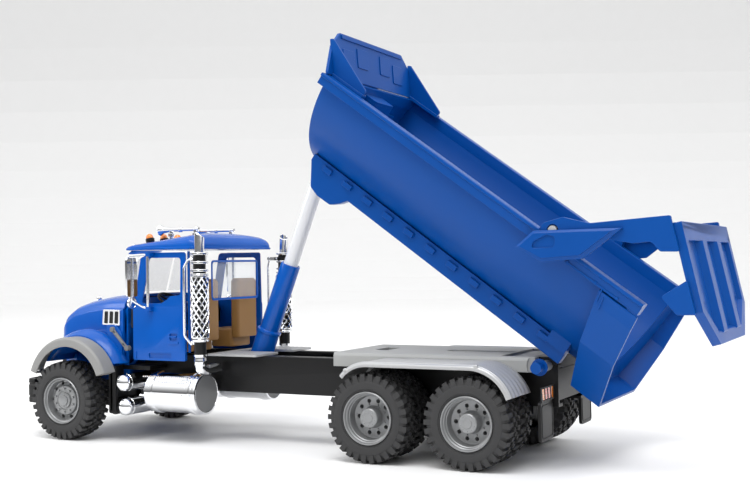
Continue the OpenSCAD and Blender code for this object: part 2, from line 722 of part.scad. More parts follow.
module bed_rails() color(BLUE) on_bed() {
    both_sides() block([bed_front_x - 2, rail_inner_y, bed_axis_z - bed_rail_h], [463.4, bed_rail_y, bed_axis_z]);
    difference() {
        block([bed_front_x, -rail_inner_y, bed_axis_z - bed_rail_h], [bed_front_x + 4, rail_inner_y, bed_axis_z]);
        block([0, -doghouse_w / 2, 0], [BIG, doghouse_w / 2, doghouse_top_z]);
    }
    both_sides() difference() {
        block([gate_pivot_x - 8, 75, bed_axis_z], [gate_pivot_x + 8, bed_rail_y, gate_pivot_z + 4]);
        bar_y(gate_pivot_x, gate_pivot_z, gate_pin_d, gate_pin_y, BIG);
    }
}

// Long beams under the half-pipe, and the cheeks that straddle the frame when the bed is down
module bed_beams() color(BLUE) on_bed() both_sides() difference() {
    union() {
        block([171, beam_y[0], beam_z], [431, beam_y[1], 100]);
        for (x = [188, 203]) bar_y(x, 79, 20, beam_y[0], beam_y[1] - 3);
    }
    bar_x(0, bed_axis_z, 2 * bed_r, 0, BIG * 2);
}

// Headboard that leans forward over the front wall, with a gusset at each end
module canopy() color(BLUE) on_bed() difference() {
    canopy_sheet();
    block([0, -BIG, 0], [BIG, BIG, bed_axis_z]);
}

module canopy_sheet() {
    translate([bed_front_x - 0.5, 0, bed_axis_z]) rotate([0, -40, 0]) translate([0, 0, -2]) rotate([90, 0, 90])
        linear_extrude(2.4) polygon([[-79, 0], [-79, 4], [-69, 26], [-55, 38], [55, 38], [69, 26], [79, 4], [79, 0]]);
    both_sides() side_plate(68, 70.4) polygon([[165.5, bed_axis_z], [151, 181.5], [154.5, 183], [197, 165],
        [197, bed_axis_z]]);
    both_sides() block([163.6, 69, bed_axis_z], [166, 79, bed_axis_z + 2.5]);
}

// Cross section of the flared rear, drawn inwards by t
module flare_section(t) {
    outer = [for (i = [0 : 3]) [flare_y[i] - t, i == 3 ? flare_z[i] + t : flare_z[i]]];
    polygon(concat(outer, [for (i = [3 : -1 : 0]) [-outer[i][0], outer[i][1]]]));
}

module rear_flare() color(BLUE) on_bed() difference() {
    intersection() {
        rotate([90, 0, 90]) linear_extrude(BIG * 2) flare_section(0);
        side_plate(-BIG, BIG) polygon([[431, 162], [434, 140], [443, 112], [447, flare_bottom_z - 1],
            [bed_rear_x - 0.5, flare_bottom_z - 1], [bed_rear_x - 10.5, 162]]);
    }
    translate([447.5, 0, 0]) rotate([90, 0, 90]) linear_extrude(BIG) flare_section(bed_t);
    bar_x(0, bed_axis_z, 2 * bed_r, 0, pipe_rear_x);
    bar_x(0, bed_axis_z, 2 * pipe_in_r, 0, BIG * 2);
    block([0, -BIG, bed_axis_z - bed_rail_h], [BIG * 2, BIG, BIG]);
}

module hinge_ears() color(BLUE) on_bed() both_sides() difference() {
    union() {
        bar_y(hinge_x, hinge_z, 2 * ear_r, ear_y[0], ear_y[1]);
        block([hinge_x - ear_r, ear_y[0], hinge_z], [hinge_x + ear_r, ear_y[1], 112]);
        block([hinge_x - ear_r, beam_y[1], 88], [431, ear_y[0], 106]);
    }
    bar_y(hinge_x, hinge_z, pin_d + 2 * RUN, 0, BIG);
    bar_x(0, bed_axis_z, 2 * bed_r, 0, BIG * 2);
}

// Two cheeks on the front wall; the stub pins on the ram's head run in their windows
module ram_bracket() color(BLUE) on_bed() both_sides() difference() {
    side_plate(head_w / 2 + 1, head_w / 2 + 4) union() {
        round_rect([ram_top_x - 8.5, ram_top_z - 6.4], [ram_top_x + 10, ram_top_z + 4.5], 2);
        round_rect([ram_top_x + 2, ram_top_z - 6.4], [ram_top_x + 20, ram_top_z - 1], 2);
        translate([ram_top_x + 12, ram_top_z - 10.4]) square([bed_front_x - ram_top_x - 12, 6]);
    }
    side_plate(0, 20) translate([ram_top_x - 5.8, ram_top_z - 4.7]) square([7.8, 6.7]);
}

module gate_pivot_pins() color(SILVER) on_bed() both_sides()
    bar_y(gate_pivot_x, gate_pivot_z, gate_pin_d, gate_pin_y, arm_y[1] + 0.6);

// ---- tailgate ----

// Puts children drawn in the closed gate's plane, with Z up the gate and its inner face at X = 0
module on_gate_plane() on_gate() translate([bed_rear_x + 0.3, 0, flare_bottom_z]) rotate([0, -gate_lean, 0]) children();

// Face of the tailgate, drawn inwards by t
module gate_face(t) polygon([[-gate_half_w + t, 85 - t], [-gate_half_w + t, 24 + t / 3], [-50 + t / 2, t],
    [50 - t / 2, t], [gate_half_w - t, 24 + t / 3], [gate_half_w - t, 85 - t]]);

module gate_panel() color(BLUE) on_gate_plane() {
    rotate([90, 0, 90]) linear_extrude(2.4) gate_face(0);
    rotate([90, 0, 90]) linear_extrude(6) difference() {
        gate_face(0);
        gate_face(9);
    }
    for (y = [-27, 27]) translate([2.2, y, 2]) linear_extrude(82) polygon([[0, -12], [5, -7], [5, 7], [0, 12]]);
}

module arm_outline() {
    polygon([[376, 160], [376, 171], [392, 173.5], [410, 167], [464.5, 165.5], [464.5, 161.4], [467, 141],
        [455, 142.5], [450, 149.8], [438, 149.8], [410, 158]]);
    polygon([[452, 113], [470.3, 122], [473.1, 99], [461, 100]]);
}

module gate_arms() color(BLUE) on_gate() both_sides() difference() {
    side_plate(arm_y[0], arm_y[1]) arm_outline();
    bar_y(gate_pivot_x, gate_pivot_z, gate_pin_d + 2 * RUN, 0, BIG);
    bar_y(gate_pivot_x, gate_pivot_z, gate_pin_d + 2, arm_y[1] - EPS, BIG);
}

module arm_covers() color(BLUE) on_gate() both_sides() difference() {
    union() {
        side_plate(arm_y[1], cover_y - 1.6) polygon([[357, 157], [370, 166], [433, 161], [404, 143.5], [374, 144.5]]);
        side_plate(arm_y[1], cover_y) polygon([[363, 157], [372, 163.5], [424, 159.5], [401, 147], [376, 147.8]]);
    }
    bar_y(gate_pivot_x, gate_pivot_z, gate_pin_d + 2, 0, arm_y[1] + 1);
}

// ---- wheels ----

// Half section of a tyre of width w, from its outer face inwards
module tyre_section(w) {
    r = tyre_d / 2;
    shoulder = 4;
    polygon(concat([[rim_d / 2, 1.5]], [[rim_d / 2 + 3, 0], [r - shoulder - 2, 0]],
        arc(r - shoulder, shoulder, shoulder, -80, 0, 6), arc(r - shoulder, w - shoulder, shoulder, 0, 80, 6),
        [[r - shoulder - 2, w], [rim_d / 2 + 3, w], [rim_d / 2, w - 1.5]]));
}

// One tyre whose outer face is at distance y from the middle plane
module tyre(y, w) translate([0, y, axle_z]) rotate([90, 0, 0]) rotate_extrude($fn = 96) tyre_section(w);

// A rim that fills the tyre, with a dish of the given depth and a hub
module rim(y, w, dish, hub) translate([0, y, axle_z]) rotate([90, 0, 0]) rotate_extrude($fn = 72)
    polygon([[axle_d / 2 - EPS, dish - hub], [7, dish - hub], [7.5, dish - hub + 1], [7.5, dish],
        [15.5, dish + 1.5], [rim_d / 2 - 2, 1.5], [rim_d / 2, 0.8], [rim_d / 2, w - 0.8],
        [rim_d / 2 - 2, w - 1.5], [rim_d / 2 - 4, w - 2], [rim_d / 2 - 5, dish + 4], [axle_d / 2 - EPS, dish + 4]]);

module axle(x, half) on_truck() translate([x, 0, 0]) bar_y(0, axle_z, axle_d, -half, half);

module front_tyres() color(TYRE) on_truck() both_sides() tyre(front_face_y, front_tyre_w);

module front_wheels() color(SILVER) {
    on_truck() both_sides() rim(front_face_y, front_tyre_w, 5, 3);
    axle(0, front_face_y - 3);
}

module dual_tyres(x) color(TYRE) on_truck() both_sides() translate([x, 0, 0]) {
    tyre(rear_face_y, rear_tyre_w);
    tyre(rear_face_y - rear_tyre_w - dual_gap, rear_tyre_w);
}

module dual_wheels(x) color(SILVER) {
    on_truck() both_sides() translate([x, 0, 0]) {
        rim(rear_face_y, rear_tyre_w, 12, 10);
        rim(rear_face_y - rear_tyre_w - dual_gap, rear_tyre_w, 6, 8.8);
    }
    axle(x, rear_face_y - 5);
}

module mid_tyres() dual_tyres(mid_x);

module rear_tyres() dual_tyres(rear_x);

module mid_wheels() dual_wheels(mid_x);

module rear_wheels() dual_wheels(rear_x);

frame_rails();
crossmembers();
front_bumper();
splash_panels();
axle_mounts();
rear_deck();
rear_fenders();
bed_hinge_pins();
tail_light_boxes();
tail_lenses();
mudflaps();
fuel_tanks();
tank_steps();
air_tanks();
catwalk();
cab_shell();
cab_roof();
dashboard();
seats();
steering_wheel();
cab_glass();
sun_visor();
roof_lights();
air_horns();
grab_handles();
exhaust_stacks();
stack_shields();
engine_block();
hood_shell();
hood_fenders();
fender_lips();
grille();
headlamps();
side_vents();
hood_latches();
door_left();
door_right();
mirror_left();
mirror_right();
ram_casing();
ram_tube();
ram_rod();
bed_shell();
bed_rails();
bed_beams();
canopy();
rear_flare();
hinge_ears();
ram_bracket();
gate_pivot_pins();
gate_panel();
gate_arms();
arm_covers();
front_tyres();
mid_tyres();
rear_tyres();
front_wheels();
mid_wheels();
rear_wheels();
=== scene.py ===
"""Toy dump truck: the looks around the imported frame.

Shapes are drawn in millimetres from the front axle, X to the rear, with the bed lowered and the
tailgate closed, as the part is designed. A space turns them to where the frame has them.
Unfinished: some pieces come out with parts missing. Their functions name the known faults.
"""
import bpy, bmesh, json, math
from mathutils import Matrix, Vector


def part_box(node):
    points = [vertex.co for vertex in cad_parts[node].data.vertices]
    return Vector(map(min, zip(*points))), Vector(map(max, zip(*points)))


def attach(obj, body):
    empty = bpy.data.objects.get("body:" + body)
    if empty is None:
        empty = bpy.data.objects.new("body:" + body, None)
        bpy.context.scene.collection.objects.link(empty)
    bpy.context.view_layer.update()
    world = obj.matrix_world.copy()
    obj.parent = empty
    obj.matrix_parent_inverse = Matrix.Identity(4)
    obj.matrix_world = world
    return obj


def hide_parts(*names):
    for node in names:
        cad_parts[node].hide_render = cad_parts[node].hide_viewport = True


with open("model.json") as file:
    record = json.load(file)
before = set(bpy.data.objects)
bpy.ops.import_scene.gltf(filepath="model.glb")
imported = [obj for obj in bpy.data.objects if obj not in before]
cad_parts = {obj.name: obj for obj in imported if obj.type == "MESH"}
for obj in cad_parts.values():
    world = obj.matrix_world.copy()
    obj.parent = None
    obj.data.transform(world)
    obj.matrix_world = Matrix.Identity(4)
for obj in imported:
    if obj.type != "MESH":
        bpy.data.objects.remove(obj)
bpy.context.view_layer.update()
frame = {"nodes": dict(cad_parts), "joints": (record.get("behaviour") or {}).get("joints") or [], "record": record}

# ---- spaces ----
MM = 0.001
JOINT = {j["name"]: j for j in frame["joints"]}
wheel_low, wheel_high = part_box("front_tyres")
AXLE_X = (wheel_low.x + wheel_high.x) / 2
AXLE_Z = (wheel_low.z + wheel_high.z) / 2 / MM
HINGE = Vector(JOINT["bed_tilt"]["pos_m"]) / MM - Vector((AXLE_X / MM, 0, 0))
TILT = -math.radians(JOINT["bed_tilt"]["range_deg"][0])
GATE_OPEN = math.radians(JOINT["tailgate_swing"]["range_deg"][1])
GATE_PIVOT = Vector((384, 0, 165.5))
GATE_FOOT = Vector((474.3, 0, 76))
GATE_LEAN = math.radians(6.8)
RAM_FOOT = Vector(JOINT["ram_swing"]["pos_m"]) / MM - Vector((AXLE_X / MM, 0, 0))
RAM_AXIS = Vector(JOINT["ram_middle_slide"]["axis"])


def turned(pivot, angle):
    """Turns about Y through a point."""
    return Matrix.Translation(pivot) @ Matrix.Rotation(angle, 4, "Y") @ Matrix.Translation(-pivot)


TRUCK = Matrix.Translation((AXLE_X, 0, 0)) @ Matrix.Scale(MM, 4)
BED = TRUCK @ turned(HINGE, TILT)
GATE = BED @ turned(GATE_PIVOT, -GATE_OPEN)
GATE_PLANE = GATE @ Matrix.Translation(GATE_FOOT) @ Matrix.Rotation(-GATE_LEAN, 4, "Y")
RAM = TRUCK @ Matrix.Translation(RAM_FOOT) @ Matrix.Rotation(math.atan2(RAM_AXIS.x, RAM_AXIS.z), 4, "Y")

# ---- materials ----


def plastic(name, color, rough, spread=0.06, grain=900, bump=0.03, metallic=0.0, coat=0.0, tint=0.06,
            shine=0.5):
    """A moulded surface: faint cloudy colour, uneven gloss and a fine skin."""
    mat = bpy.data.materials.new(name)
    mat.use_nodes = True
    nodes, links = mat.node_tree.nodes, mat.node_tree.links
    bsdf = nodes["Principled BSDF"]
    bsdf.inputs["Metallic"].default_value = metallic
    bsdf.inputs["Coat Weight"].default_value = coat
    bsdf.inputs["Specular IOR Level"].default_value = shine
    bsdf.inputs["Coat Roughness"].default_value = 0.06
    place = nodes.new("ShaderNodeTexCoord")
    clouds = nodes.new("ShaderNodeTexNoise")
    clouds.inputs["Scale"].default_value = 22
    clouds.inputs["Detail"].default_value = 5
    links.new(place.outputs["Object"], clouds.inputs["Vector"])
    ramp = nodes.new("ShaderNodeValToRGB")
    ramp.color_ramp.elements[0].color = [c * (1 - tint) for c in color] + [1]
    ramp.color_ramp.elements[1].color = [min(1, c * (1 + tint)) for c in color] + [1]
    links.new(clouds.outputs["Fac"], ramp.inputs["Fac"])
    links.new(ramp.outputs["Color"], bsdf.inputs["Base Color"])
    gloss = nodes.new("ShaderNodeMapRange")
    gloss.inputs["To Min"].default_value = max(0.01, rough - spread)
    gloss.inputs["To Max"].default_value = rough + spread
    links.new(clouds.outputs["Fac"], gloss.inputs["Value"])
    links.new(gloss.outputs["Result"], bsdf.inputs["Roughness"])
    skin = nodes.new("ShaderNodeTexNoise")
    skin.inputs["Scale"].default_value = grain
    skin.inputs["Detail"].default_value = 3
    links.new(place.outputs["Object"], skin.inputs["Vector"])
    relief = nodes.new("ShaderNodeBump")
    relief.inputs["Strength"].default_value = bump
    relief.inputs["Distance"].default_value = 0.0002
    links.new(skin.outputs["Fac"], relief.inputs["Height"])
    links.new(relief.outputs["Normal"], bsdf.inputs["Normal"])
    return mat


def clear(name, color, rough, alpha):
    """Thin clear plastic with a faint haze."""
    mat = plastic(name, color, rough, spread=0.02, bump=0.01)
    bsdf = mat.node_tree.nodes["Principled BSDF"]
    bsdf.inputs["Alpha"].default_value = alpha
    bsdf.inputs["IOR"].default_value = 1.45
    return mat


MATERIALS = {
    "cab_blue": plastic("cab_blue", (0.0, 0.085, 0.42), 0.22, coat=0.12, shine=0.25, grain=500, bump=0.02),
    "bed_blue": plastic("bed_blue", (0.0, 0.06, 0.29), 0.32, spread=0.05, grain=700, bump=0.05, shine=0.2),
    "black_plastic": plastic("black_plastic", (0.009, 0.009, 0.0095), 0.4, tint=0.15, shine=0.25),
    "deck_grey": plastic("deck_grey", (0.36, 0.365, 0.36), 0.5, bump=0.05),
    "silver_plastic": plastic("silver_plastic", (0.45, 0.455, 0.46), 0.33, metallic=0.35),
    "lip_grey": plastic("lip_grey", (0.25, 0.25, 0.245), 0.5, bump=0.08),
    "engine_grey": plastic("engine_grey", (0.17, 0.172, 0.175), 0.5),
    "chrome": plastic("chrome", (0.86, 0.87, 0.89), 0.07, spread=0.03, metallic=1, bump=0.01, tint=0.02),
    "pin_metal": plastic("pin_metal", (0.5, 0.51, 0.52), 0.42, metallic=0.5),
    "ram_white": plastic("ram_white", (0.72, 0.73, 0.75), 0.16, coat=0.5, tint=0.02),
    "seat_tan": plastic("seat_tan", (0.34, 0.17, 0.045), 0.5, bump=0.1),
    "amber_lens": plastic("amber_lens", (0.85, 0.22, 0.02), 0.12, coat=0.6),
    "clear_glass": clear("clear_glass", (0.9, 0.95, 1.0), 0.04, 0.16),
    "lamp_clear": plastic("lamp_clear", (0.75, 0.78, 0.8), 0.1, coat=0.6),
    "tyre_rubber": plastic("tyre_rubber", (0.026, 0.026, 0.027), 0.62, grain=1500, bump=0.25, tint=0.2),
    "rim_silver": plastic("rim_silver", (0.27, 0.275, 0.28), 0.32, metallic=0.45),
}
for entry in frame["record"]["subparts"]:
    node = frame["nodes"].get(entry["node"])
    if node is not None:
        node.data.materials.clear()
        node.data.materials.append(MATERIALS[entry["material_slot"]])
        node.data.set_sharp_from_angle(angle=math.radians(35))
RED_LENS = plastic("red_lens", (0.6, 0.02, 0.01), 0.12, coat=0.6)

# ---- drawing ----


def arc(cx, cy, r, start, end, steps):
    """Points on an arc; angles in degrees."""
    turn = [math.radians(start + (end - start) * i / steps) for i in range(steps + 1)]
    return [(cx + r * math.cos(a), cy + r * math.sin(a)) for a in turn]


def rounded(points, radius, steps=4):
    """A closed outline with each corner rounded; radius is one number or one for each corner."""
    out = []
    count = len(points)
    for i, p in enumerate(points):
        r = radius[i] if isinstance(radius, (list, tuple)) else radius
        p, before, after = Vector(p), Vector(points[i - 1]), Vector(points[(i + 1) % count])
        if r <= 0:
            out.append(tuple(p))
            continue
        u, v = (before - p).normalized(), (after - p).normalized()
        half = math.acos(max(-1, min(1, u.dot(v)))) / 2
        reach = min(r / math.tan(half), (before - p).length * 0.49, (after - p).length * 0.49)
        a, b = p + u * reach, p + v * reach
        for k in range(steps + 1):
            t = k / steps
            out.append(tuple(a * (1 - t) ** 2 + p * 2 * t * (1 - t) + b * t * t))
    return out


def rectangle(x0, y0, x1, y1, r=0, steps=4):
    """Outline of a rectangle, with round corners where r is given."""
    return rounded([(x0, y0), (x1, y0), (x1, y1), (x0, y1)], r, steps)


SIDE = Matrix(((1, 0, 0, 0), (0, 0, 1, 0), (0, 1, 0, 0), (0, 0, 0, 1)))
ACROSS = Matrix(((0, 0, 1, 0), (1, 0, 0, 0), (0, 1, 0, 0), (0, 0, 0, 1)))
FLAT = Matrix.Identity(4)


class Shape:
    """Closed surfaces collected in one mesh."""

    def __init__(self):
        self.bm = bmesh.new()

    def add(self, points, faces, place=FLAT):
        """Adds points and the faces between them."""
        verts = [self.bm.verts.new(place @ Vector(p)) for p in points]
        for f in faces:
            self.bm.faces.new([verts[i] for i in f])
        return self

    def loft(self, rings, place=FLAT, caps=True, closed=True, loop=False):
        """Joins rings that have the same number of points. loop joins the last ring to the first."""
        n = len(rings[0])
        points = [p for ring in rings for p in ring]
        faces = []
        last = len(rings) if loop else len(rings) - 1
        for i in range(last):
            a, b = i * n, (i + 1) % len(rings) * n
            for k in range(n if closed else n - 1):
                m = (k + 1) % n
                faces.append((a + k, a + m, b + m, b + k))
        if caps and not loop:
            faces.append(tuple(range(n - 1, -1, -1)))
            faces.append(tuple(range((len(rings) - 1) * n, len(rings) * n)))
        return self.add(points, faces, place)

    def prism(self, outline, low, high, place=FLAT):
        """An outline in the first two axes pushed along the third."""
        return self.loft([[(x, y, z) for x, y in outline] for z in (low, high)], place)

    def box(self, low, high):
        """Adds a block from its lowest to its highest corner."""
        x0, y0, z0 = low
        x1, y1, z1 = high
        return self.prism([(x0, y0), (x1, y0), (x1, y1), (x0, y1)], z0, z1)

    def lathe(self, profile, place=FLAT, segments=64, caps=False):
        """A profile of (radius, height) turned about the third axis."""
        turns = [2 * math.pi * i / segments for i in range(segments)]
        rings = [[(r * math.cos(a), r * math.sin(a), h) for r, h in profile] for a in turns]
        return self.loft(rings, place, caps=False, closed=caps, loop=True)

    def rod(self, start, end, r, sides=16, cap=0.0):
        """A round bar between two points, with its end edges rounded by cap."""
        start, end = Vector(start), Vector(end)
        length = (end - start).length
        turn = (end - start).to_track_quat("Z", "Y").to_matrix().to_4x4()
        profile = [(0.001, 0), (r - cap, 0), (r, cap), (r, length - cap), (r - cap, length),
                   (0.001, length)]
        return self.lathe(profile, Matrix.Translation(start) @ turn, sides)

    def tube(self, route, r, sides=12, bend=4.0, loop=False):
        """A round bar along a route with rounded corners."""
        path = bend_route([Vector(p) for p in route], bend, loop)
        rings = []
        normal = None
        count = len(path)
        for i, p in enumerate(path):
            ahead = path[(i + 1) % count] if loop else path[min(i + 1, count - 1)]
            behind = path[i - 1] if loop else path[max(i - 1, 0)]
            along = (ahead - behind).normalized()
            if normal is None:
                normal = along.orthogonal().normalized()
            normal = (normal - along * normal.dot(along)).normalized()
            other = along.cross(normal)
            rings.append([p + (normal * math.cos(a) + other * math.sin(a)) * r
                          for a in (2 * math.pi * k / sides for k in range(sides))])
        return self.loft(rings, caps=not loop, loop=loop)


def bend_route(route, bend, loop):
    """Rounds the corners of a route in space."""
    out = []
    count = len(route)
    for i, p in enumerate(route):
        if not loop and i in (0, count - 1):
            out.append(p)
            continue
        before, after = route[i - 1], route[(i + 1) % count]
        u, v = (before - p), (after - p)
        reach = min(bend, u.length * 0.49, v.length * 0.49)
        a, b = p + u.normalized() * reach, p + v.normalized() * reach
        for k in range(6):
            t = k / 5
            out.append(a * (1 - t) ** 2 + p * 2 * t * (1 - t) + b * t * t)
    return out


def finish_mesh(obj, bevel, angle, segments):
    """Smooth faces with sharp creases, and small round edges."""
    mesh = obj.data
    mesh.polygons.foreach_set("use_smooth", [True] * len(mesh.polygons))
    mesh.set_sharp_from_angle(angle=math.radians(angle))
    if bevel:
        mod = obj.modifiers.new("edges", "BEVEL")
        mod.width = bevel * MM
        mod.segments = segments
        mod.limit_method = "ANGLE"
        mod.angle_limit = math.radians(angle)
        mod.harden_normals = True
        mod.miter_outer = "MITER_ARC"


def as_object(name, shape, space, mirrored=False):
    """One object from a shape; mirrored adds the other side of the truck."""
    bm = shape.bm
    if mirrored:
        both = bmesh.ops.duplicate(bm, geom=bm.verts[:] + bm.edges[:] + bm.faces[:])
        moved = [e for e in both["geom"] if isinstance(e, bmesh.types.BMVert)]
        bmesh.ops.scale(bm, vec=(1, -1, 1), verts=moved)
    bmesh.ops.remove_doubles(bm, verts=bm.verts, dist=0.002)
    bmesh.ops.recalc_face_normals(bm, faces=bm.faces)
    bmesh.ops.transform(bm, matrix=space, verts=bm.verts)
    mesh = bpy.data.meshes.new(name)
    bm.to_mesh(mesh)
    bm.free()
    obj = bpy.data.objects.new(name, mesh)
    bpy.context.scene.collection.objects.link(obj)
    return obj


def carve(obj, cutter, mode="DIFFERENCE"):
    """Cuts one object with another and keeps the result as its mesh.

    Shapes that overlap inside the object or the cutter lose faces here, so each is best one closed surface.
    """
    mod = obj.modifiers.new("cut", "BOOLEAN")
    mod.operation = mode
    mod.solver = "EXACT"
    mod.object = cutter
    bpy.context.view_layer.update()
    cut = bpy.data.meshes.new_from_object(obj.evaluated_get(bpy.context.evaluated_depsgraph_get()))
    obj.modifiers.clear()
    obj.data = cut
    bpy.data.objects.remove(cutter)
    return obj


def piece(name, shape, material, body, nodes=(), space=TRUCK, bevel=0.0, angle=32, segments=2,
          mirrored=False, cuts=None, cut_mirrored=False):
    """Makes a finished piece: drawn, cut, given a material, and fixed to its body."""
    obj = shape if isinstance(shape, bpy.types.Object) else as_object(name, shape, space, mirrored)
    if cuts is not None:
        carve(obj, as_object(name + "_cutter", cuts, space, cut_mirrored))
    obj.data.materials.clear()
    obj.data.materials.append(MATERIALS[material] if isinstance(material, str) else material)
    finish_mesh(obj, bevel, angle, segments)
    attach(obj, body)
    if nodes:
        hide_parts(*nodes)
    return obj


# ---- wheels ----
TYRE_R = AXLE_Z
RIM_R = 20
PITCHES = 30


def on_axle(x, y, side):
    """Third axis out of the wheel's outer face, which is y from the middle plane."""
    return Matrix.Translation((x, side * y, AXLE_Z)) @ Matrix.Rotation(-side * math.pi / 2, 4, "X")


def tyre(shape, place, width):
    """A tyre whose outer face is at height 0 and inner face at -width."""
    base = TYRE_R - 2.4
    half = [(RIM_R, 1.6), (RIM_R + 0.9, 0.9), (RIM_R + 1.6, 0.9), (RIM_R + 2.0, 0.35), (RIM_R + 3.4, 0.1),
            (RIM_R + 6.5, 0.0), (base - 4.2, 0.25), (base - 3.8, 0.7), (base - 2.6, 0.9), (base, 2.4)]
    profile = [(r, -h) for r, h in half] + [(r, h - width) for r, h in reversed(half)]
    shape.lathe(profile, place, 96)
    step = 2 * math.pi / PITCHES
    for i in range(PITCHES):
        for end in (0, 1):
            at = step * (i + 0.5 * end)
            long = 7.2 if i % 2 else 5.8
            lug(shape, place, width, end, at, step * 0.31, 0.35, long, base)
            lug(shape, place, width, end, at + step * 0.5, step * 0.27, long + 1.2, width / 2 - 0.6, base)


def lug(shape, place, width, end, at, half, near, far, base):
    """One tread block from near to far, both measured from a face of the tyre."""
    points = []
    shoulder = near < 1
    for v, grow in ((near, 1.0), (far, 0.78)):
        foot = base - (4.4 if shoulder and v == near else 0.4)
        top = TYRE_R - (0.9 if shoulder and v == near else 0.0)
        for r, g in ((foot, 1.12), (top, 0.9)):
            for side in (-1, 1):
                a = at + side * half * grow * g + (v - near) * 0.006
                h = -v if end == 0 else v - width
                points.append((r * math.cos(a), r * math.sin(a), h))
    shape.add(points, [(0, 1, 3, 2), (4, 6, 7, 5), (0, 2, 6, 4), (1, 5, 7, 3), (2, 3, 7, 6), (0, 4, 5, 1)],
              place)


LIP = [(RIM_R, -1.8), (RIM_R, -0.6), (RIM_R - 0.4, -0.15), (RIM_R - 1.0, -0.15), (RIM_R - 1.4, -0.7),
       (RIM_R - 1.7, -2.0), (RIM_R - 2.2, -2.3), (RIM_R - 2.5, -2.7)]


def hub_ring(shape, place, count, r, size, low, high, sides=6):
    """Nuts on a circle."""
    for i in range(count):
        a = 2 * math.pi * (i + 0.5) / count
        spot = place @ Matrix.Translation((r * math.cos(a), r * math.sin(a), 0))
        shape.lathe([(0.001, low), (size, low), (size, high - 0.3), (size - 0.35, high), (0.001, high)],
                    spot, sides)


def hole_ring(place, count, r, size, low, high, sides=16):
    """Cutter for holes on a circle."""
    cutter = Shape()
    for i in range(count):
        a = 2 * math.pi * i / count
        spot = place @ Matrix.Translation((r * math.cos(a), r * math.sin(a), 0))
        cutter.lathe([(0.001, low), (size, low), (size, high), (0.001, high)], spot, sides)
    return cutter


def front_rim(x, y, side, width):
    """Front rim: a shallow disc with a ring of slots and ten nuts."""
    place = on_axle(x, y, side)
    disc = Shape()
    disc.lathe(LIP + [(17.1, -6.2), (16.6, -8.2), (15.8, -8.4), (13.2, -7.4), (12.6, -5.4), (11.9, -4.9),
                      (8.3, -4.9), (7.9, -5.4), (6.9, -5.4), (6.6, -4.0), (4.7, -3.8), (4.4, -2.9),
                      (3.0, -2.5),
                      (0.001, -2.3), (0.001, -width + 2), (RIM_R - 1, -width + 2)], place, 72, caps=True)
    rim = carve(as_object("disc", disc, TRUCK), as_object("holes", hole_ring(place, 10, 15.0, 1.75, -14,
            -5), TRUCK))
    nuts = Shape()
    hub_ring(nuts, place, 10, 10.1, 1.05, -5.2, -3.3)
    hub_ring(nuts, place, 10, 5.6, 0.4, -4.2, -3.5)
    return [rim, as_object("nuts", nuts, TRUCK)]


def rear_rim(x, y, side, width):
    """Rear rim: a deep dish with round holes and a long hub."""
    place = on_axle(x, y, side)
    disc = Shape()
    disc.lathe(LIP + [(17.2, -4.4), (16.7, -4.8), (16.5, -10.6), (15.9, -11.8), (14.8, -12.2), (8.6, -12.2),
                      (7.7, -11.4),
                      (7.5, -5.0), (7.2, -3.6), (6.6, -3.1), (3.6, -3.1), (3.3, -2.7), (0.001, -2.6),
                      (0.001, -width + 2), (RIM_R - 1, -width + 2)], place, 72, caps=True)
    rim = carve(as_object("disc", disc, TRUCK), as_object("holes", hole_ring(place, 10, 12.4, 1.6, -18, -8),
                                                          TRUCK))
    nuts = Shape()
    hub_ring(nuts, place, 10, 5.5, 0.5, -3.3, -2.7, 8)
    hub_ring(nuts, place, 8, 9.9, 0.75, -12.3, -11.2)
    return [rim, as_object("nuts", nuts, TRUCK)]


def joined(objects):
    """Several objects as one mesh."""
    whole = bmesh.new()
    for obj in objects:
        whole.from_mesh(obj.data)
        bpy.data.objects.remove(obj)
    mesh = bpy.data.meshes.new("whole")
    whole.to_mesh(mesh)
    whole.free()
    result = bpy.data.objects.new("whole", mesh)
    bpy.context.scene.collection.objects.link(result)
    return result


def wheel_set(label, x, widths, make_rim):
    """Tyres and rims of one axle; widths lists (outer face, width) of each tyre on a side."""
    rubber = Shape()
    parts = []
    for side in (-1, 1):
        for face, width in widths:
            tyre(rubber, on_axle(x, face, side), width)
        parts += make_rim(x, widths[0][0], side, widths[0][1])
    piece(label + "_tread", rubber, "tyre_rubber", label + "_wheelset", [label + "_tyres"], angle=25)
    axle = Shape().rod((x, -widths[0][0] + 14, AXLE_Z), (x, widths[0][0] - 14, AXLE_Z), 3.0, 24, 0.3)
    rims = joined(parts + [as_object("axle", axle, TRUCK)])
    rims.name = label + "_rims"
    piece(label + "_rims", rims, "rim_silver", label + "_wheelset", [label + "_wheels"], angle=30)


def centre_x(node):
    """Middle of a node along X, from the front axle, in millimetres."""
    low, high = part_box(node)
    return ((low.x + high.x) / 2 - AXLE_X) / MM


wheel_set("front", 0, [(85.5, 25)], front_rim)
REAR_PAIR = [(87, 22.5), (61.5, 22.5)]
for label in ("mid", "rear"):
    wheel_set(label, centre_x(label + "_tyres"), REAR_PAIR, rear_rim)
# ---- bed ----
AXIS_Z, BED_R, BED_T = 160, 76, 2.4
BED_FRONT, PIPE_END = 165, 452
RAIL_LOW, RAIL_HIGH, RAIL_IN, RAIL_OUT = 151, 160, 73, 83.4
HOUSE_HALF, HOUSE_DEEP, HOUSE_TOP = 13.5, 15, 152
FLARE = [(84, 158), (83, 141), (76, 112), (50, 76)]


def pipe_arc(r, low, steps):
    """Half circle below the bed's axis as (y, z), from the +Y side to the -Y side."""
    start = -math.degrees(math.asin(low / r))
    return [(y, AXIS_Z + z) for y, z in arc(0, 0, r, -start, -180 + start, steps)]


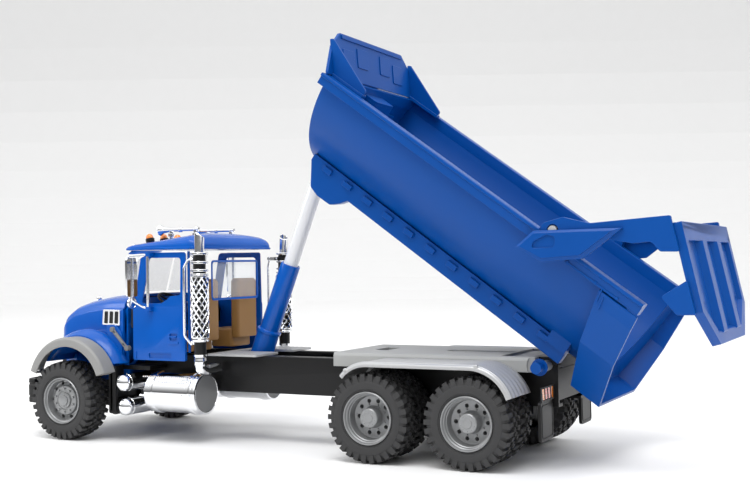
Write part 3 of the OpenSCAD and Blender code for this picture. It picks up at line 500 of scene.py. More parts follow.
def make_bed_shell():
    """Half-pipe of the bed with its front wall and the stepped recess for the ram."""
    outer, inner = pipe_arc(BED_R, -9, 48), pipe_arc(BED_R - BED_T, -9, 48)
    section = outer + inner[::-1]
    shell = Shape().loft([[(x, y, z) for y, z in section] for x in (BED_FRONT, PIPE_END)])
    wall = Shape().prism(pipe_arc(BED_R - 0.5, -9, 48), BED_FRONT, BED_FRONT + BED_T, ACROSS)
    notch = Shape().box((150, -HOUSE_HALF, 60), (BED_FRONT + 5, HOUSE_HALF, HOUSE_TOP))
    wall = carve(as_object("wall", wall, BED), as_object("notch", notch, BED))
    t = BED_T
    out_y, in_y = HOUSE_HALF + t, HOUSE_HALF
    out_x, in_x = BED_FRONT + HOUSE_DEEP + t, BED_FRONT + HOUSE_DEEP
    plan = [(BED_FRONT, -out_y), (out_x, -out_y), (out_x, out_y), (BED_FRONT, out_y), (BED_FRONT, in_y),
            (in_x, in_y),
            (in_x, -in_y), (BED_FRONT, -in_y)]
    foot = AXIS_Z - BED_R + 2
    house = Shape().prism(rounded(plan, [0, 3, 3, 0, 0, 1, 1, 0]), foot, HOUSE_TOP)
    house.prism(rectangle(BED_FRONT, -out_y, out_x, out_y, 2.9), HOUSE_TOP, HOUSE_TOP + t)
    for y in (-36, 36):
        house.prism(rectangle(BED_FRONT + t, y - 14, BED_FRONT + 6, y + 14, 1.5), foot + 22, HOUSE_TOP - 10)
        house.prism(rectangle(BED_FRONT + t, y - 10, BED_FRONT + 8.5, y + 10, 1.5), foot + 22,
                    HOUSE_TOP - 18)
    whole = joined([as_object("shell", shell, BED), wall, as_object("house", house, BED)])
    whole.name = "bed_trough"
    piece("bed_trough", whole, "bed_blue", "bed", ["bed_shell"], bevel=0.35)


def make_bed_rails():
    """Top rails with the lugs of the tailgate, and the bar across the front."""
    rails = Shape()
    profile = rounded([(RAIL_IN, RAIL_LOW), (RAIL_OUT - 1.4, RAIL_LOW), (RAIL_OUT - 1.4, RAIL_HIGH - 3),
                       (RAIL_OUT, RAIL_HIGH - 2.4),
                       (RAIL_OUT, RAIL_HIGH), (RAIL_IN, RAIL_HIGH)], [0, 0.5, 0.3, 0.3, 0.9, 0.6], 3)
    rails.loft([[(x, y, z) for y, z in profile] for x in (BED_FRONT - 2, 463.4)])
    lug = rounded([(374, 159.8), (394, 159.8), (391, 170), (378, 170)], [0, 0, 3, 3])
    rails.prism([(x, z) for x, z in lug], 76, RAIL_OUT, SIDE)
    for x in (404, 428, 446):
        rails.rod((x, RAIL_OUT - 1.6, RAIL_LOW + 1.4), (x, RAIL_OUT - 0.4, RAIL_LOW + 1.4), 1.3, 16, 0.3)
    rails.prism(rectangle(404, RAIL_LOW + 0.4, 446, RAIL_LOW + 2.0), RAIL_OUT - 1.6, RAIL_OUT - 0.9, SIDE)
    obj = as_object("rail_pair", rails, BED, mirrored=True)
    bar = Shape().box((BED_FRONT, -RAIL_IN, RAIL_LOW), (BED_FRONT + 4, RAIL_IN, RAIL_HIGH))
    bar = as_object("bar", bar, BED)
    whole = joined([obj, bar])
    whole.name = "bed_top_rails"
    piece("bed_top_rails", whole, "bed_blue", "bed", ["bed_rails"], bevel=0.35)


def on_flare(angle, inset):
    """Point of the flare's section on a ray from the bed's axis."""
    points = [(y - inset, z + (inset if i == 3 else 0)) for i, (y, z) in enumerate(FLARE)]
    points = [(points[0][0], 200)] + points + [(0, points[3][1])]
    dy, dz = math.cos(angle), math.sin(angle)
    best = None
    for (y0, z0), (y1, z1) in zip(points, points[1:]):
        ey, ez = y1 - y0, z1 - z0
        cross = dy * ez - dz * ey
        if abs(cross) < 1e-9:
            continue
        t = (y0 * ez - (z0 - AXIS_Z) * ey) / cross
        s = (y0 * dz - (z0 - AXIS_Z) * dy) / cross
        if t > 0 and -1e-6 <= s <= 1 + 1e-6 and (best is None or t < best):
            best = t
    return best * dy, AXIS_Z + best * dz


def make_rear_flare():
    """Flared tail: blends the half-pipe into the angular rear opening."""
    corners = [math.atan2(z - AXIS_Z, y) for y, z in FLARE[1:]]
    angles = sorted(set([math.radians(-6.8 - 83.2 * i / 14) for i in range(15)] + corners), reverse=True)

    def front_x(z):
        return 431 + (162 - z) * 0.2

    def rear_x(z):
        return 463.5 + (162 - z) * 0.1149

    def ring(place_x, point):
        half = [(place_x(z), y, z) for y, z in (point(a) for a in angles)]
        return half + [(x, -y, z) for x, y, z in half[-2::-1]]

    def pipe_point(r):
        return lambda a: (r * math.cos(a), AXIS_Z + r * math.sin(a))

    rings = [ring(lambda z: front_x(z) - 1.5, pipe_point(BED_R - 1)),
             ring(front_x, lambda a: on_flare(a, 0)),
             ring(rear_x, lambda a: on_flare(a, 0)), ring(rear_x, lambda a: on_flare(a, BED_T)),
             ring(lambda z: PIPE_END + 4, lambda a: on_flare(a, BED_T)),
             ring(lambda z: PIPE_END - 1, pipe_point(BED_R - BED_T)),
             ring(lambda z: 436, pipe_point(BED_R - BED_T))]
    flare = Shape().loft(rings, caps=False, closed=False)
    n = len(rings[0])
    for k in (0, n - 1):
        flare.add([r[k] for r in rings], [tuple(range(len(rings)))])
    flare.add(rings[-1] + rings[0], [(k, k + 1, n + k + 1, n + k) for k in range(n - 1)])
    for side in (-1, 1):
        groove = [(434.6 + 0.2 * (152 - z), side * y, z) for y, z in ((83.6, 152), (83.2, 143))]
        flare.tube([(p[0], p[1] + side * 0.2, p[2]) for p in groove], 0.55, 8)
        flare.tube([(p[0] + 4, p[1] + side * 0.2, p[2] - 4) for p in groove], 0.55, 8)
    piece("bed_tail_flare", flare, "bed_blue", "bed", ["rear_flare"], BED, bevel=0.5, angle=12)


def make_canopy():
    """Headboard: a folded sheet leaning forward, a deeper tray behind it and a gusset at each end."""
    lean = Matrix.Translation((BED_FRONT - 0.5, 0, AXIS_Z)) @ Matrix.Rotation(math.radians(-40), 4, "Y")
    outline = rounded([(-79, 0), (-79, 2.5), (-69, 24), (-55, 36), (55, 36), (69, 24), (79, 2.5), (79, 0)],
                      [0, 3, 4, 3, 3, 4, 3, 0])
    sheet = Shape().prism(outline, -0.6, 1.8, lean @ ACROSS)
    for low, high, y in ((12, 28, 20), (8, 24, 44)):
        sheet.prism(rectangle(y - 9, low, y + 9, high, 1.5), 1.6, 2.6, lean @ ACROSS)
        sheet.prism(rectangle(-y - 9, low, -y + 9, high, 1.5), 1.6, 2.6, lean @ ACROSS)
    sheet.prism(rectangle(-54, 31.5, 54, 35, 1), 1.6, 3.0, lean @ ACROSS)
    gusset = rounded([(165.5, 159.6), (146.6, 182.5), (149.4, 184.2), (197, 165.5), (197, 159.6)],
                     [0, 1, 1.2, 2, 0])
    for side in (-1, 1):
        low, high = sorted((side * 68.4, side * 70.6))
        sheet.prism(gusset, low, high, SIDE)
        low, high = sorted((side * 66.5, side * 72.5))
        sheet.prism(rectangle(164, 159.6, 197.5, 162.2, 0.4), low, high, SIDE)
    piece("headboard", sheet, "bed_blue", "bed", ["canopy"], BED, bevel=0.4)


def make_bed_underside():
    """Beams with their cheeks and tabs, and the ears on the hinge pins.

    Known fault: the plates of the ears are missing from the result.
    """
    beams = Shape()
    beam = rounded([(176, 84), (184, 71.5), (193, 69), (207, 69.4), (214, 75), (219, 81), (431, 81),
                    (431, 96), (172, 96), (172, 90)],
                   [3, 3, 3, 3, 3, 1, 1, 0, 0, 1])
    beams.prism([(x, z) for x, z in beam], 36.2, 43.8, SIDE)
    for i in range(11):
        x = 186 + 22 * i
        beams.prism(rectangle(x, 89, x + 9, 93.4, 0.6), 43.6, 46.4, SIDE)
        beams.rod((x + 4.5, 46.2, 91.2), (x + 4.5, 47.0, 91.2), 1.1, 12, 0.2)
    cut = Shape().rod((150, 0, AXIS_Z), (480, 0, AXIS_Z), BED_R - 0.6, 96)
    piece("bed_beam_pair", beams, "bed_blue", "bed", ["bed_beams"], BED, bevel=0.5, mirrored=True, cuts=cut)
    ears = Shape()
    r = 11
    ear = [(HINGE.x + r * math.cos(a),
            HINGE.z + r * math.sin(a)) for a in (math.radians(-180 + 180 * i / 24) for i in range(25))]
    ear += [(HINGE.x + r, 92), (HINGE.x + 13, 108), (HINGE.x - 13, 108), (HINGE.x - r, 92)]
    ears.prism(rounded(ear[:25], 0) + ear[25:], 46, 51, SIDE)
    ears.box((HINGE.x - 9, 43.5, 90), (431, 46.5, 104))
    ears.rod((HINGE.x, 50.8, HINGE.z), (HINGE.x, 51.6, HINGE.z), 6.2, 32, 0.2)
    hole = Shape().rod((HINGE.x, 30, HINGE.z), (HINGE.x, 60, HINGE.z), 4.08, 48)
    ears = carve(as_object("ears", ears, BED, True), as_object("hole", hole, BED, True))
    pipe = Shape().rod((150, 0, AXIS_Z), (480, 0, AXIS_Z), BED_R - 0.6, 96)
    ears = carve(ears, as_object("pipe", pipe, BED))
    ears.name = "bed_hinge_ears"
    piece("bed_hinge_ears", ears, "bed_blue", "bed", ["hinge_ears"], bevel=0.5)


def make_ram_bracket():
    """Two cheeks on the front wall, with windows for the stub pins of the ram."""
    top_x, top_z = 140, 164
    cheek = rounded([(top_x - 8.5, top_z - 6.4), (top_x + 4, top_z - 6.4), (top_x + 14, top_z - 10.4),
                     (BED_FRONT, top_z - 10.4),
                     (BED_FRONT, top_z - 4.4), (top_x + 20, top_z - 1), (top_x + 10, top_z + 4.5),
                     (top_x - 8.5, top_z + 4.5)],
                    [3, 3, 3, 0, 0, 3, 3, 3])
    shape = Shape().prism(cheek, 5.1, 7.9, SIDE)
    window = Shape().prism(rectangle(top_x - 5.8, top_z - 4.7, top_x + 2, top_z + 2, 1), 0, 20, SIDE)
    piece("ram_top_bracket", shape, "bed_blue", "bed", ["ram_bracket"], BED, bevel=0.4, mirrored=True,
          cuts=window,
          cut_mirrored=True)


# ---- ram ----


def make_ram():
    """Sleeve, first stage and piston rod, each on its own body."""
    length = (Vector((140, 0, 164)) - HINGE)
    lifted = Matrix.Rotation(TILT, 3, "Y") @ length + HINGE
    reach = (lifted - RAM_FOOT).length
    casing = Shape().lathe([(6.6, 4.5), (0.001, 4.5), (0.001, -7), (9.4, -7), (9.8, -6.6), (9.8, 41.5),
                            (10.5, 42), (10.6, 43),
                            (10.5, 44), (9.2, 44.3), (8.6, 45.2), (8.5, 104.2), (8.2, 105), (7, 105),
                            (6.7, 104.6), (6.6, 4.5)],
                           FLAT, 64)
    for side in (-1, 1):
        casing.rod((0, side * 9, 0), (0, side * 21, 0), 2.5, 32, 0.3)
    piece("ram_sleeve", casing, "cab_blue", "ram_outer", ["ram_casing"], RAM, angle=25)
    tube_foot, tube_len = 94, 99
    tube = Shape().lathe([(4.3, tube_foot + 1.4), (0.001, tube_foot + 1.4), (0.001, tube_foot),
                          (6.0, tube_foot),
                          (6.3, tube_foot + 0.4), (6.3, tube_foot + tube_len - 0.8),
                          (5.9, tube_foot + tube_len),
                          (4.6, tube_foot + tube_len), (4.3, tube_foot + tube_len - 0.3),
                          (4.3, tube_foot + 1.4)], FLAT, 64)
    piece("ram_stage", tube, "ram_white", "ram_middle", ["ram_tube"], RAM, angle=25)
    rod = Shape().rod((0, 0, reach - 104), (0, 0, reach - 5.5), 4, 48, 0.4)
    rod.rod((0, -4, reach), (0, 4, reach), 6.5, 48, 0.5)
    rod.rod((0, -7.6, reach), (0, 7.6, reach), 1.5, 24, 0.2)
    piece("ram_piston_rod", rod, "ram_white", "ram_inner", ["ram_rod"], RAM, angle=25)


# ---- tailgate ----
GATE_HALF = 84


def gate_face(t):
    """Outline of the tailgate's face, drawn inwards by t."""
    return [(-GATE_HALF + t, 85 - t), (-GATE_HALF + t, 24 + t / 3), (-50 + t / 2, t), (50 - t / 2, t),
            (GATE_HALF - t, 24 + t / 3), (GATE_HALF - t, 85 - t)]


def make_gate():
    """Tailgate panel with a raised border and two upright ribs."""
    panel = Shape().prism(gate_face(0), 0, 2.4, ACROSS)
    outer, inner = rounded(gate_face(0.2), 1.2), rounded(gate_face(8.5), 1.2)
    deep = rounded(gate_face(10.5), 1.2)
    rings = [[(x, y, z) for y, z in ring] for x, ring in ((2.2, outer), (6.2, outer), (6.2, inner),
                                                          (2.3, deep))]
    panel.loft(rings, caps=False)
    panel.prism(rectangle(-GATE_HALF + 0.4, 72, GATE_HALF - 0.4, 84.6, 0.8), 2.2, 6.2, ACROSS)
    for y in (-27, 27):
        foot, tip, low, high = 12, 7, 2.2, 7.4
        rings = [[(low, y - foot, z), (high, y - tip, z + dz), (high, y + tip, z + dz), (low, y + foot, z)]
                 for z, dz in ((5, 3), (73, -1))]
        panel.loft(rings)
    for y in (-62, 62):
        panel.prism(rounded([(y - 9, 30), (y + 9, 30), (y + 9, 66), (y - 9, 66)], 1), 2.2, 3.0, ACROSS)
    piece("tailgate_panel", panel, "bed_blue", "tailgate", ["gate_panel"], GATE_PLANE, bevel=0.45)


def make_gate_arms():
    """Swing arms with their rivets, and the caps over the pivots."""
    arms = Shape()
    upper = rounded([(376, 160), (376, 171), (392, 173.5), (410, 167), (464.5, 165.5), (464.9, 161.4),
                     (467.6, 141), (455, 142.5),
                     (450, 149.8), (438, 149.8), (410, 158)], [4, 4, 3, 6, 1.5, 1, 1.5, 3, 4, 5, 5])
    lower = rounded([(452, 113), (470.3, 122), (473.3, 99), (461, 100)], [2, 1, 1, 3])
    arms.prism(upper, 84.1, 87, SIDE)
    arms.prism(lower, 84.1, 87, SIDE)
    for x, z in ((459.5, 148), (461.5, 155), (457, 143.6), (466, 117), (466.8, 109.5), (467.6, 102.6)):
        arms.lathe([(0.001, 86.8), (1.5, 86.8), (1.3, 87.6), (0.7, 87.9), (0.001, 87.95)],
                   Matrix.Translation((x, 0, z)) @ SIDE, 16)
    arms.prism(rectangle(463.2, 141.5, 464.6, 160, 0.4), 86.8, 87.6, SIDE)
    hole = Shape().rod((GATE_PIVOT.x, 60, GATE_PIVOT.z), (GATE_PIVOT.x, 100, GATE_PIVOT.z), 4, 32)
    piece("tailgate_arms", arms, "bed_blue", "tailgate", ["gate_arms"], GATE, bevel=0.4, mirrored=True,
          cuts=hole, cut_mirrored=True)
    covers = Shape()
    outer = [(357, 157), (371, 166.6), (433, 161), (404, 143.5), (374, 144.5)]
    middle = [(360, 157), (371.6, 164.6), (426, 159.9), (402, 146), (375, 147)]
    rings = [[(x, y, z) for x, z in ring] for y, ring in ((87.05, outer), (89.6, outer), (90.8, middle),
                                                          (91.9, middle))]
    covers.loft(rings)
    cut = Shape().prism(rounded([(369, 154.6), (385, 153.2), (387, 160.2), (381, 162.8), (371, 159)],
                                [2, 3, 3, 3, 2]), 90.6, 95, SIDE)
    cut.rod((GATE_PIVOT.x, 60, GATE_PIVOT.z), (GATE_PIVOT.x, 88, GATE_PIVOT.z), 4, 32)
    piece("tailgate_arm_caps", covers, "bed_blue", "tailgate", ["arm_covers"], GATE, bevel=0.35,
          mirrored=True, cuts=cut,
          cut_mirrored=True)


for make in (make_bed_shell, make_bed_rails, make_rear_flare, make_canopy, make_bed_underside,
             make_ram_bracket, make_ram,
             make_gate, make_gate_arms):
    make()

# ---- cab ----
CAB_W, CAB_REAR, BELT_Z, COWL_Z = 60, 125, 115, 125.5
DOOR = [(59.4, 69.2), (114.3, 69.2), (114.3, 161.3), (67.4, 161.3), (59.4, 115)]
WINDOW = [(68.2, 117.8), (89, 118), (95, 121), (98.5, 124), (109, 125), (109, 156.6), (76.2, 156.8)]


def cab_plan(z, t):
    """Plan of the cab at one height, drawn inwards by t."""
    if z <= BELT_Z:
        front = 50.5
    elif z <= COWL_Z:
        front = 50.5 - 2.3 * (z - BELT_Z) / (COWL_Z - BELT_Z)
    else:
        front = 48.2 + 12 * (z - COWL_Z) / (168 - COWL_Z)
    half = CAB_W - t - (0.9 if z > BELT_Z - 1 else 0) - max(0, z - BELT_Z) * 0.03 - (0.6 if z < 68 else 0)
    plan = [(front + t, -half), (CAB_REAR - t, -half), (CAB_REAR - t, half), (front + t, half)]
    return [(x, y, z) for x, y in rounded(plan, [5, 11, 11, 5], 8)]


def cab_solid(t, low, high):
    """Solid cab between two heights, drawn inwards by t."""
    heights = [z for z in (66, 67.2, 68.4, 112.8, BELT_Z, COWL_Z) if low < z < high]
    return Shape().loft([cab_plan(z, t) for z in [low] + heights + [high]])


def make_cab():
    """Cab skin with doorways, windscreen and rear window.

    Known fault: nearly the whole skin is missing from the result, and only the rear window's trim is left.
    """
    shell = as_object("cab_skin", cab_solid(0, 66, 166), TRUCK)
    carve(shell, as_object("room", cab_solid(2.4, 76, 170), TRUCK))
    gap = rounded([(DOOR[0][0] - 0.3, DOOR[0][1] - 0.3), (DOOR[1][0] + 0.3, DOOR[1][1] - 0.3),
                   (DOOR[2][0] + 0.3, DOOR[2][1] + 0.3),
                   (DOOR[3][0] - 0.3, DOOR[3][1] + 0.3), (DOOR[4][0] - 0.3, DOOR[4][1])], [2, 2, 3, 5, 8],
                   5)
    openings = Shape().prism(gap, 56.2, 62, SIDE)
    carve(shell, as_object("doorway", openings, TRUCK, True))
    panes = Shape()
    panes.prism(rounded([(3, 128.4), (51, 128.4), (49, 160.6), (3, 160.6)], [1.5, 4, 4, 1.5]), 40, 66,
                ACROSS)
    carve(shell, as_object("screen", panes, TRUCK, True))
    rear_cuts = Shape().box((40, -33.8, 60), (130, 33.8, 73.2))
    rear_cuts.prism(rectangle(-34, 121.5, 34, 152.3, 2.5), 118, 130, ACROSS)
    for path in ([(43.6, 160), (43.9, 101)], [(43.9, 101), (32, 81.8)], [(38.8, 120.4), (17.2, 82.6)],
                 [(-38.6, 82.4), (38.8, 81.9)],
                 [(-43.9, 160), (-43.9, 101)], [(-43.9, 101), (-37, 76)]):
        (y0, z0), (y1, z1) = path
        rear_cuts.tube([(CAB_REAR + 0.05, y0, z0), (CAB_REAR + 0.05, y1, z1)], 0.55, 8)
    carve(shell, as_object("rear_cuts", rear_cuts, TRUCK))
    trim = Shape()
    frame_out, frame_in = rectangle(-36, 119.4, 36, 154.2, 3.5), rectangle(-34, 121.5, 34, 152.3, 2.5)
    rings = [[(x, y, z) for y, z in ring] for x, ring in ((124.6, frame_in), (125.3, frame_in),
                                                          (125.6, frame_out), (124.6, frame_out))]
    trim.loft(rings, caps=False, loop=True)
    trim.box((114.9, -56.5, 76.2), (116.4, -54, 162))
    cab = joined([shell, as_object("trim", trim, TRUCK)])
    cab.name = "cab_body"
    piece("cab_body", cab, "cab_blue", "chassis", ["cab_shell"], bevel=0.35, angle=24)


def roof_height(x):
    """Height of the roof along the middle plane."""
    profile = [(48, 166), (50.5, 167.2), (54, 168.8), (60, 171), (68, 173.6), (78, 176), (90, 177.8),
               (100, 178.4), (110, 178.2),
               (118, 177), (123, 175), (126, 172.2), (128, 169), (130, 166)]
    for (x0, z0), (x1, z1) in zip(profile, profile[1:]):
        if x <= x1:
            return z0 + (z1 - z0) * max(0, x - x0) / (x1 - x0)
    return profile[-1][1]


def make_roof():
    """Crowned roof with a gutter lip, and the marker lamps on it."""
    plan = rounded([(50.4, -61.2), (127.6, -61.2), (127.6, 61.2), (50.4, 61.2)], [7, 11, 11, 7], 10)
    lip = rounded([(51.2, -60.4), (126.8, -60.4), (126.8, 60.4), (51.2, 60.4)], [6.5, 10.5, 10.5, 6.5], 10)
    rings = [[(x, y, 163.6) for x, y in lip], [(x, y, 163.9) for x, y in plan],
             [(x, y, 165.3) for x, y in plan],
             [(x, y, 165.8) for x, y in lip]]
    for k in range(1, 25):
        s = 1 - (k / 24) ** 2
        ring = []
        for x, y in lip:
            cx = min(max(x, 74), 106)
            px, py = cx + (x - cx) * s, y * s
            rise = (roof_height(px) - 165.8) * (1 - s ** 14) ** 0.45 - 2.6 * (py / 60) ** 2 * (1 - s ** 14)
            ring.append((px, py if s > 0.001 else y * 0.001, 165.8 + rise))
        rings.append(ring)
    roof = Shape().loft(rings)
    sockets = Shape()
    for y in (-40, -20, 0, 20, 40):
        sockets.rod((63, y, 170), (63, y, 180), 4.1, 32)
    piece("cab_crown", roof, "cab_blue", "chassis", ["cab_roof"], bevel=0, angle=40, cuts=sockets)
    lamps, bases = Shape(), Shape()
    for y in (-40, -20, 0, 20, 40):
        lean = Matrix.Translation((63, y, 172.2)) @ Matrix.Rotation(math.radians(-12), 4, "Y")
        bases.lathe([(0.001, -1), (3.9, -1), (3.9, 1.6), (3.4, 2.1), (0.001, 2.1)], lean, 32)
        lamps.lathe([(0.001, 1.4), (3.3, 1.4), (3.3, 2.6), (3.0, 4.0), (2.3, 5.2), (1.2, 5.9),
                     (0.001, 6.1)], lean, 32)
    piece("roof_marker_bases", bases, "black_plastic", "chassis", bevel=0)
    piece("roof_marker_lamps", lamps, "amber_lens", "chassis", ["roof_lights"], bevel=0)


def make_doors():
    """Doors cut from the same skin as the cab, with handle, recesses and mirror lugs."""
    for side, label in ((-1, "left"), (1, "right")):
        door = as_object("door", cab_solid(0, 66, 170), TRUCK)
        outline = Shape().prism(rounded(DOOR, [1.5, 1.5, 2.5, 4.5, 8], 5),
                                *sorted((side * 57.2, side * 62)), SIDE)
        carve(door, as_object("outline", outline, TRUCK), "INTERSECT")
        cut = Shape().prism(rounded(WINDOW, [2, 4, 4, 4, 1.5, 3, 3], 5), *sorted((side * 50, side * 64)),
                            SIDE)
        cut.prism(rectangle(98.2, 86.5, 106.2, 92.4, 1.2), *sorted((side * 58.8, side * 64)), SIDE)
        cut.prism(rectangle(76, 71.4, 100.3, 75.4, 1.2), *sorted((side * 58.9, side * 64)), SIDE)
        cut.rod((79, side * 64, 100), (79, side * 64, 170), 1.5, 24)
        carve(door, as_object("cut", cut, TRUCK))
        extra = Shape()
        extra.prism(rectangle(97, 83.4, 107.6, 85.4, 0.9), *sorted((side * 59.4, side * 60.6)), SIDE)
        extra.tube([(99.4, side * 59.2, 89.6), (99.4, side * 60.4, 89.6), (105, side * 60.4, 89.6),
                    (105, side * 59.2, 89.6)], 0.7, 10, 0.8)
        for z in (111.5, 158):
            lug = [(76.3, 58.6), (81.7, 58.6), (81.7, 64.4), (80.6, 66.2), (77.4, 66.2), (76.3, 64.4)]
            extra.prism([(x, side * y) for x, y in lug], z, z + 3.5)
        extra.tube([(62.5, side * 59.4, 70.6), (62.5, side * 60.3, 71), (62.5, side * 60.3, 76),
                    (62.5, side * 59.4, 76.4)], 0.6, 10, 0.4)
        extra = as_object("extra", extra, TRUCK)
        hole = Shape().rod((79, side * 64, 100), (79, side * 64, 170), 1.42, 24)
        carve(extra, as_object("hole", hole, TRUCK))
        whole = joined([door, extra])
        whole.name = "door_" + label + "_skin"
        piece(whole.name, whole, "cab_blue", label + "_door", ["door_" + label], bevel=0.3, angle=28)


def make_mirrors():
    """Mirror arms, housing and the small round mirror below."""
    for side, label in ((-1, "left"), (1, "right")):
        def at(x, y, z):
            return (79 + x, side * (64 + y), z)
        arms = Shape()
        arms.rod(at(0, 0, 111.5), at(0, 0, 161.4), 1.25, 20, 0.2)
        for z in (112.2, 158.8):
            arms.rod(at(0, 0, z), at(0, 0, z + 2.2), 1.9, 20, 0.3)
        arms.tube([at(0, 0, 159.6), at(-4, 5.5, 159.4), at(-9.6, 14, 158.6), at(-10.4, 15.6, 154),
                   at(-10.4, 15.6, 128),
                   at(-9.6, 11, 121.5), at(-3, 3, 114.8), at(0, 0, 113.6)], 0.95, 12, 3)
        arms.tube([at(-10.4, 15.6, 150), at(-9.8, 4, 150), at(-6, 2, 157.5), at(-1, 0.6, 159.4)], 0.8, 12,
                  2)
        arms.rod(at(-9.8, 9.4, 119.5), at(-9.8, 9.4, 127), 0.9, 12)
        housing = Shape()
        face = rounded([(side * 67.4, 124), (side * 80.8, 124), (side * 80.8, 157), (side * 67.4, 157)],
                       2.2, 5)
        small = rounded([(side * 68.6, 125.4), (side * 79.6, 125.4), (side * 79.6, 155.6),
                         (side * 68.6, 155.6)], 1.8, 5)
        rings = [[(x, y, z) for y, z in ring] for x, ring in ((70.6, small), (70.6, face), (69.2, face),
                (67.2, small))]
        housing.loft(rings)
        lower = Matrix.Translation(at(-10.4, 9.4, 118.6)) @ Matrix.Rotation(math.pi / 2, 4, "Y")
        housing.lathe([(0.001, 1.2), (4.3, 1.2), (4.4, 1.7), (5.1, 1.7), (5.15, 0.6), (4.6, -0.7),
                       (2.6, -1.3), (0.001, -1.4)], lower, 40)
        whole = joined([as_object("arms", arms, TRUCK), as_object("housing", housing, TRUCK)])
        whole.name = "mirror_" + label + "_set"
        piece(whole.name, whole, "chrome", label + "_mirror", ["mirror_" + label], bevel=0.15, angle=40)


def make_cab_inside():
    """Seats, dashboard, steering column and wheel."""
    seats = Shape()
    for side in (-1, 1):
        cushion = [rectangle(87 + d, side * 30 - 15.4 + d, 111 - d, side * 30 + 15.4 - d, 4) for d in (0.6,
                0, 0, 1.4)]
        seats.loft([[(x, y, z) for x, y in ring] for ring, z in zip(cushion, (76.1, 77, 91, 92.8))])
        back = [rectangle(109.2 + d, side * 30 - 15.4 + d, 118 - d, side * 30 + 15.4 - d, 3) for d in (0.4,
                0, 0, 1.6)]
        seats.loft([[(x, y, z) for x, y in ring] for ring, z in zip(back, (84.5, 86, 135.5, 137.8))])
    piece("seat_pair", seats, "seat_tan", "chassis", ["seats"], bevel=0.5)
    dash = Shape()
    profile = rounded([(54, 96.2), (68.6, 96.2), (69.6, 108), (66, 115.8), (58, 116.8), (54, 115)],
                      [1, 2, 3, 3, 2, 1])
    dash.prism(profile, -56, 56, SIDE)
    for y in (-38, -30, -22):
        dash.lathe([(0.001, -1), (3, -1), (3, 0.9), (2.6, 1.2), (2.4, 0.8), (0.001, 0.8)],
                   Matrix.Translation((69.2, y, 109)) @ Matrix.Rotation(math.radians(82), 4, "Y"), 32)
    lean = Matrix.Translation((80, -30, 118)) @ Matrix.Rotation(math.radians(32), 4, "Y")
    column = Shape().lathe([(0.001, -26), (2.3, -26), (2.3, -17), (1.7, -16), (1.7, -4), (0.001, -4)], lean,
                           24)
    dashes = joined([as_object("dash", dash, TRUCK), as_object("column", column, TRUCK)])
    dashes.name = "dash_panel"
    piece("dash_panel", dashes, "black_plastic", "chassis", ["dashboard"], bevel=0.3)
    wheel = Shape()
    ring = [(14 + 1.15 * math.cos(a),
             1.15 * math.sin(a)) for a in (2 * math.pi * i / 16 for i in range(16))]
    wheel.lathe(ring, lean, 64, caps=True)
    wheel.lathe([(0.001, -4), (3.4, -4), (3.6, -1), (2.6, 0.8), (0.001, 1)], lean, 32)
    hub = as_object("wheel", wheel, TRUCK)
    spokes = Shape()
    for a in (90, 210, 330):
        turn = math.radians(a)
        spokes.rod((2 * math.cos(turn), 2 * math.sin(turn), -1),
                   (13.6 * math.cos(turn), 13.6 * math.sin(turn), 0), 0.9, 12)
    whole = joined([hub, as_object("spokes", spokes, TRUCK @ lean)])
    whole.name = "steering_ring"
    piece("steering_ring", whole, "black_plastic", "chassis", ["steering_wheel"], bevel=0)


def make_cab_trim():
    """Glazing, sun visor, air horns and grab handles."""
    glass = Shape()
    lean = math.atan2(12, 168 - COWL_Z)
    place = Matrix.Translation((49.4, 0, 127)) @ Matrix.Rotation(lean, 4, "Y") @ ACROSS
    for side in (-1, 1):
        glass.prism([(side * 2.2, 0.6), (side * 51.6, 0.6), (side * 49.8, 35.4), (side * 2.2, 35.4)], -0.2,
                    0.8, place)
    glass.prism(rectangle(-33.8, 121.7, 33.8, 152.1, 2.3), 123.2, 124.2, ACROSS)
    piece("cab_panes", glass, "clear_glass", "chassis", ["cab_glass"], bevel=0)
    visor = Shape()
    rings = []
    for y in (-48.4, -47.6, -40, -20, 0, 20, 40, 47.6, 48.4):
        pinch = 0.7 if abs(y) > 48 else 1
        bow = 1.1 * (1 - (y / 50) ** 2)
        edge = [(43.9 - bow, 160.9), (44.5 - bow, 160.3), (48, 162.6), (51.4, 166.4), (51.6, 168.6),
                (50.6, 169.6), (46.8, 166.2)]
        rings.append([(50 + (x - 50) * pinch, y, 165 + (z - 165) * pinch) for x, z in edge])
    visor.loft(rings)
    piece("visor", visor, "chrome", "chassis", ["sun_visor"], bevel=0.2)
    horns = Shape()
    for side in (-1, 1):
        y = side * 27
        place = Matrix.Translation((64, y, 181.5)) @ Matrix.Rotation(math.pi / 2, 4, "Y")
        horns.lathe([(0.001, 0.8), (4.2, 0.5), (4.9, 0), (5, 0.5), (4.2, 1.8), (3.0, 3.6), (2.3, 7.4),
                     (1.6, 14), (1.4, 30), (1.4, 41),
                     (1.7, 41.4), (1.7, 42.2), (0.001, 42.6)], place, 40)
        for x in (76, 102):
            horns.rod((x, y, 173.4), (x, y, 181), 1.5, 20, 0.2)
            horns.rod((x, y, 175.6), (x, y, 178.4), 2.6, 20, 0.3)
        horns.rod((84.5, y, 181.5), (88, y, 181.5), 2.2, 24, 0.5)
    piece("horn_pair", horns, "chrome", "chassis", ["air_horns"], bevel=0)
    handles = Shape()
    for side in (-1, 1):
        y = side * 65.2
        handles.tube([(124.6, side * 61, 84.5), (121.6, side * 62, 84.6), (117.8, y, 91), (117.8, y, 148),
                      (121, side * 63, 155),
                      (124.6, side * 61.4, 155.2)], 1.05, 14, 2)
        for z in (84.6, 155.2):
            handles.rod((122.4, side * 58.4, z), (122.4, side * 62.6, z), 1.6, 20, 0.3)
    piece("handle_pair", handles, "chrome", "chassis", ["grab_handles"], bevel=0)


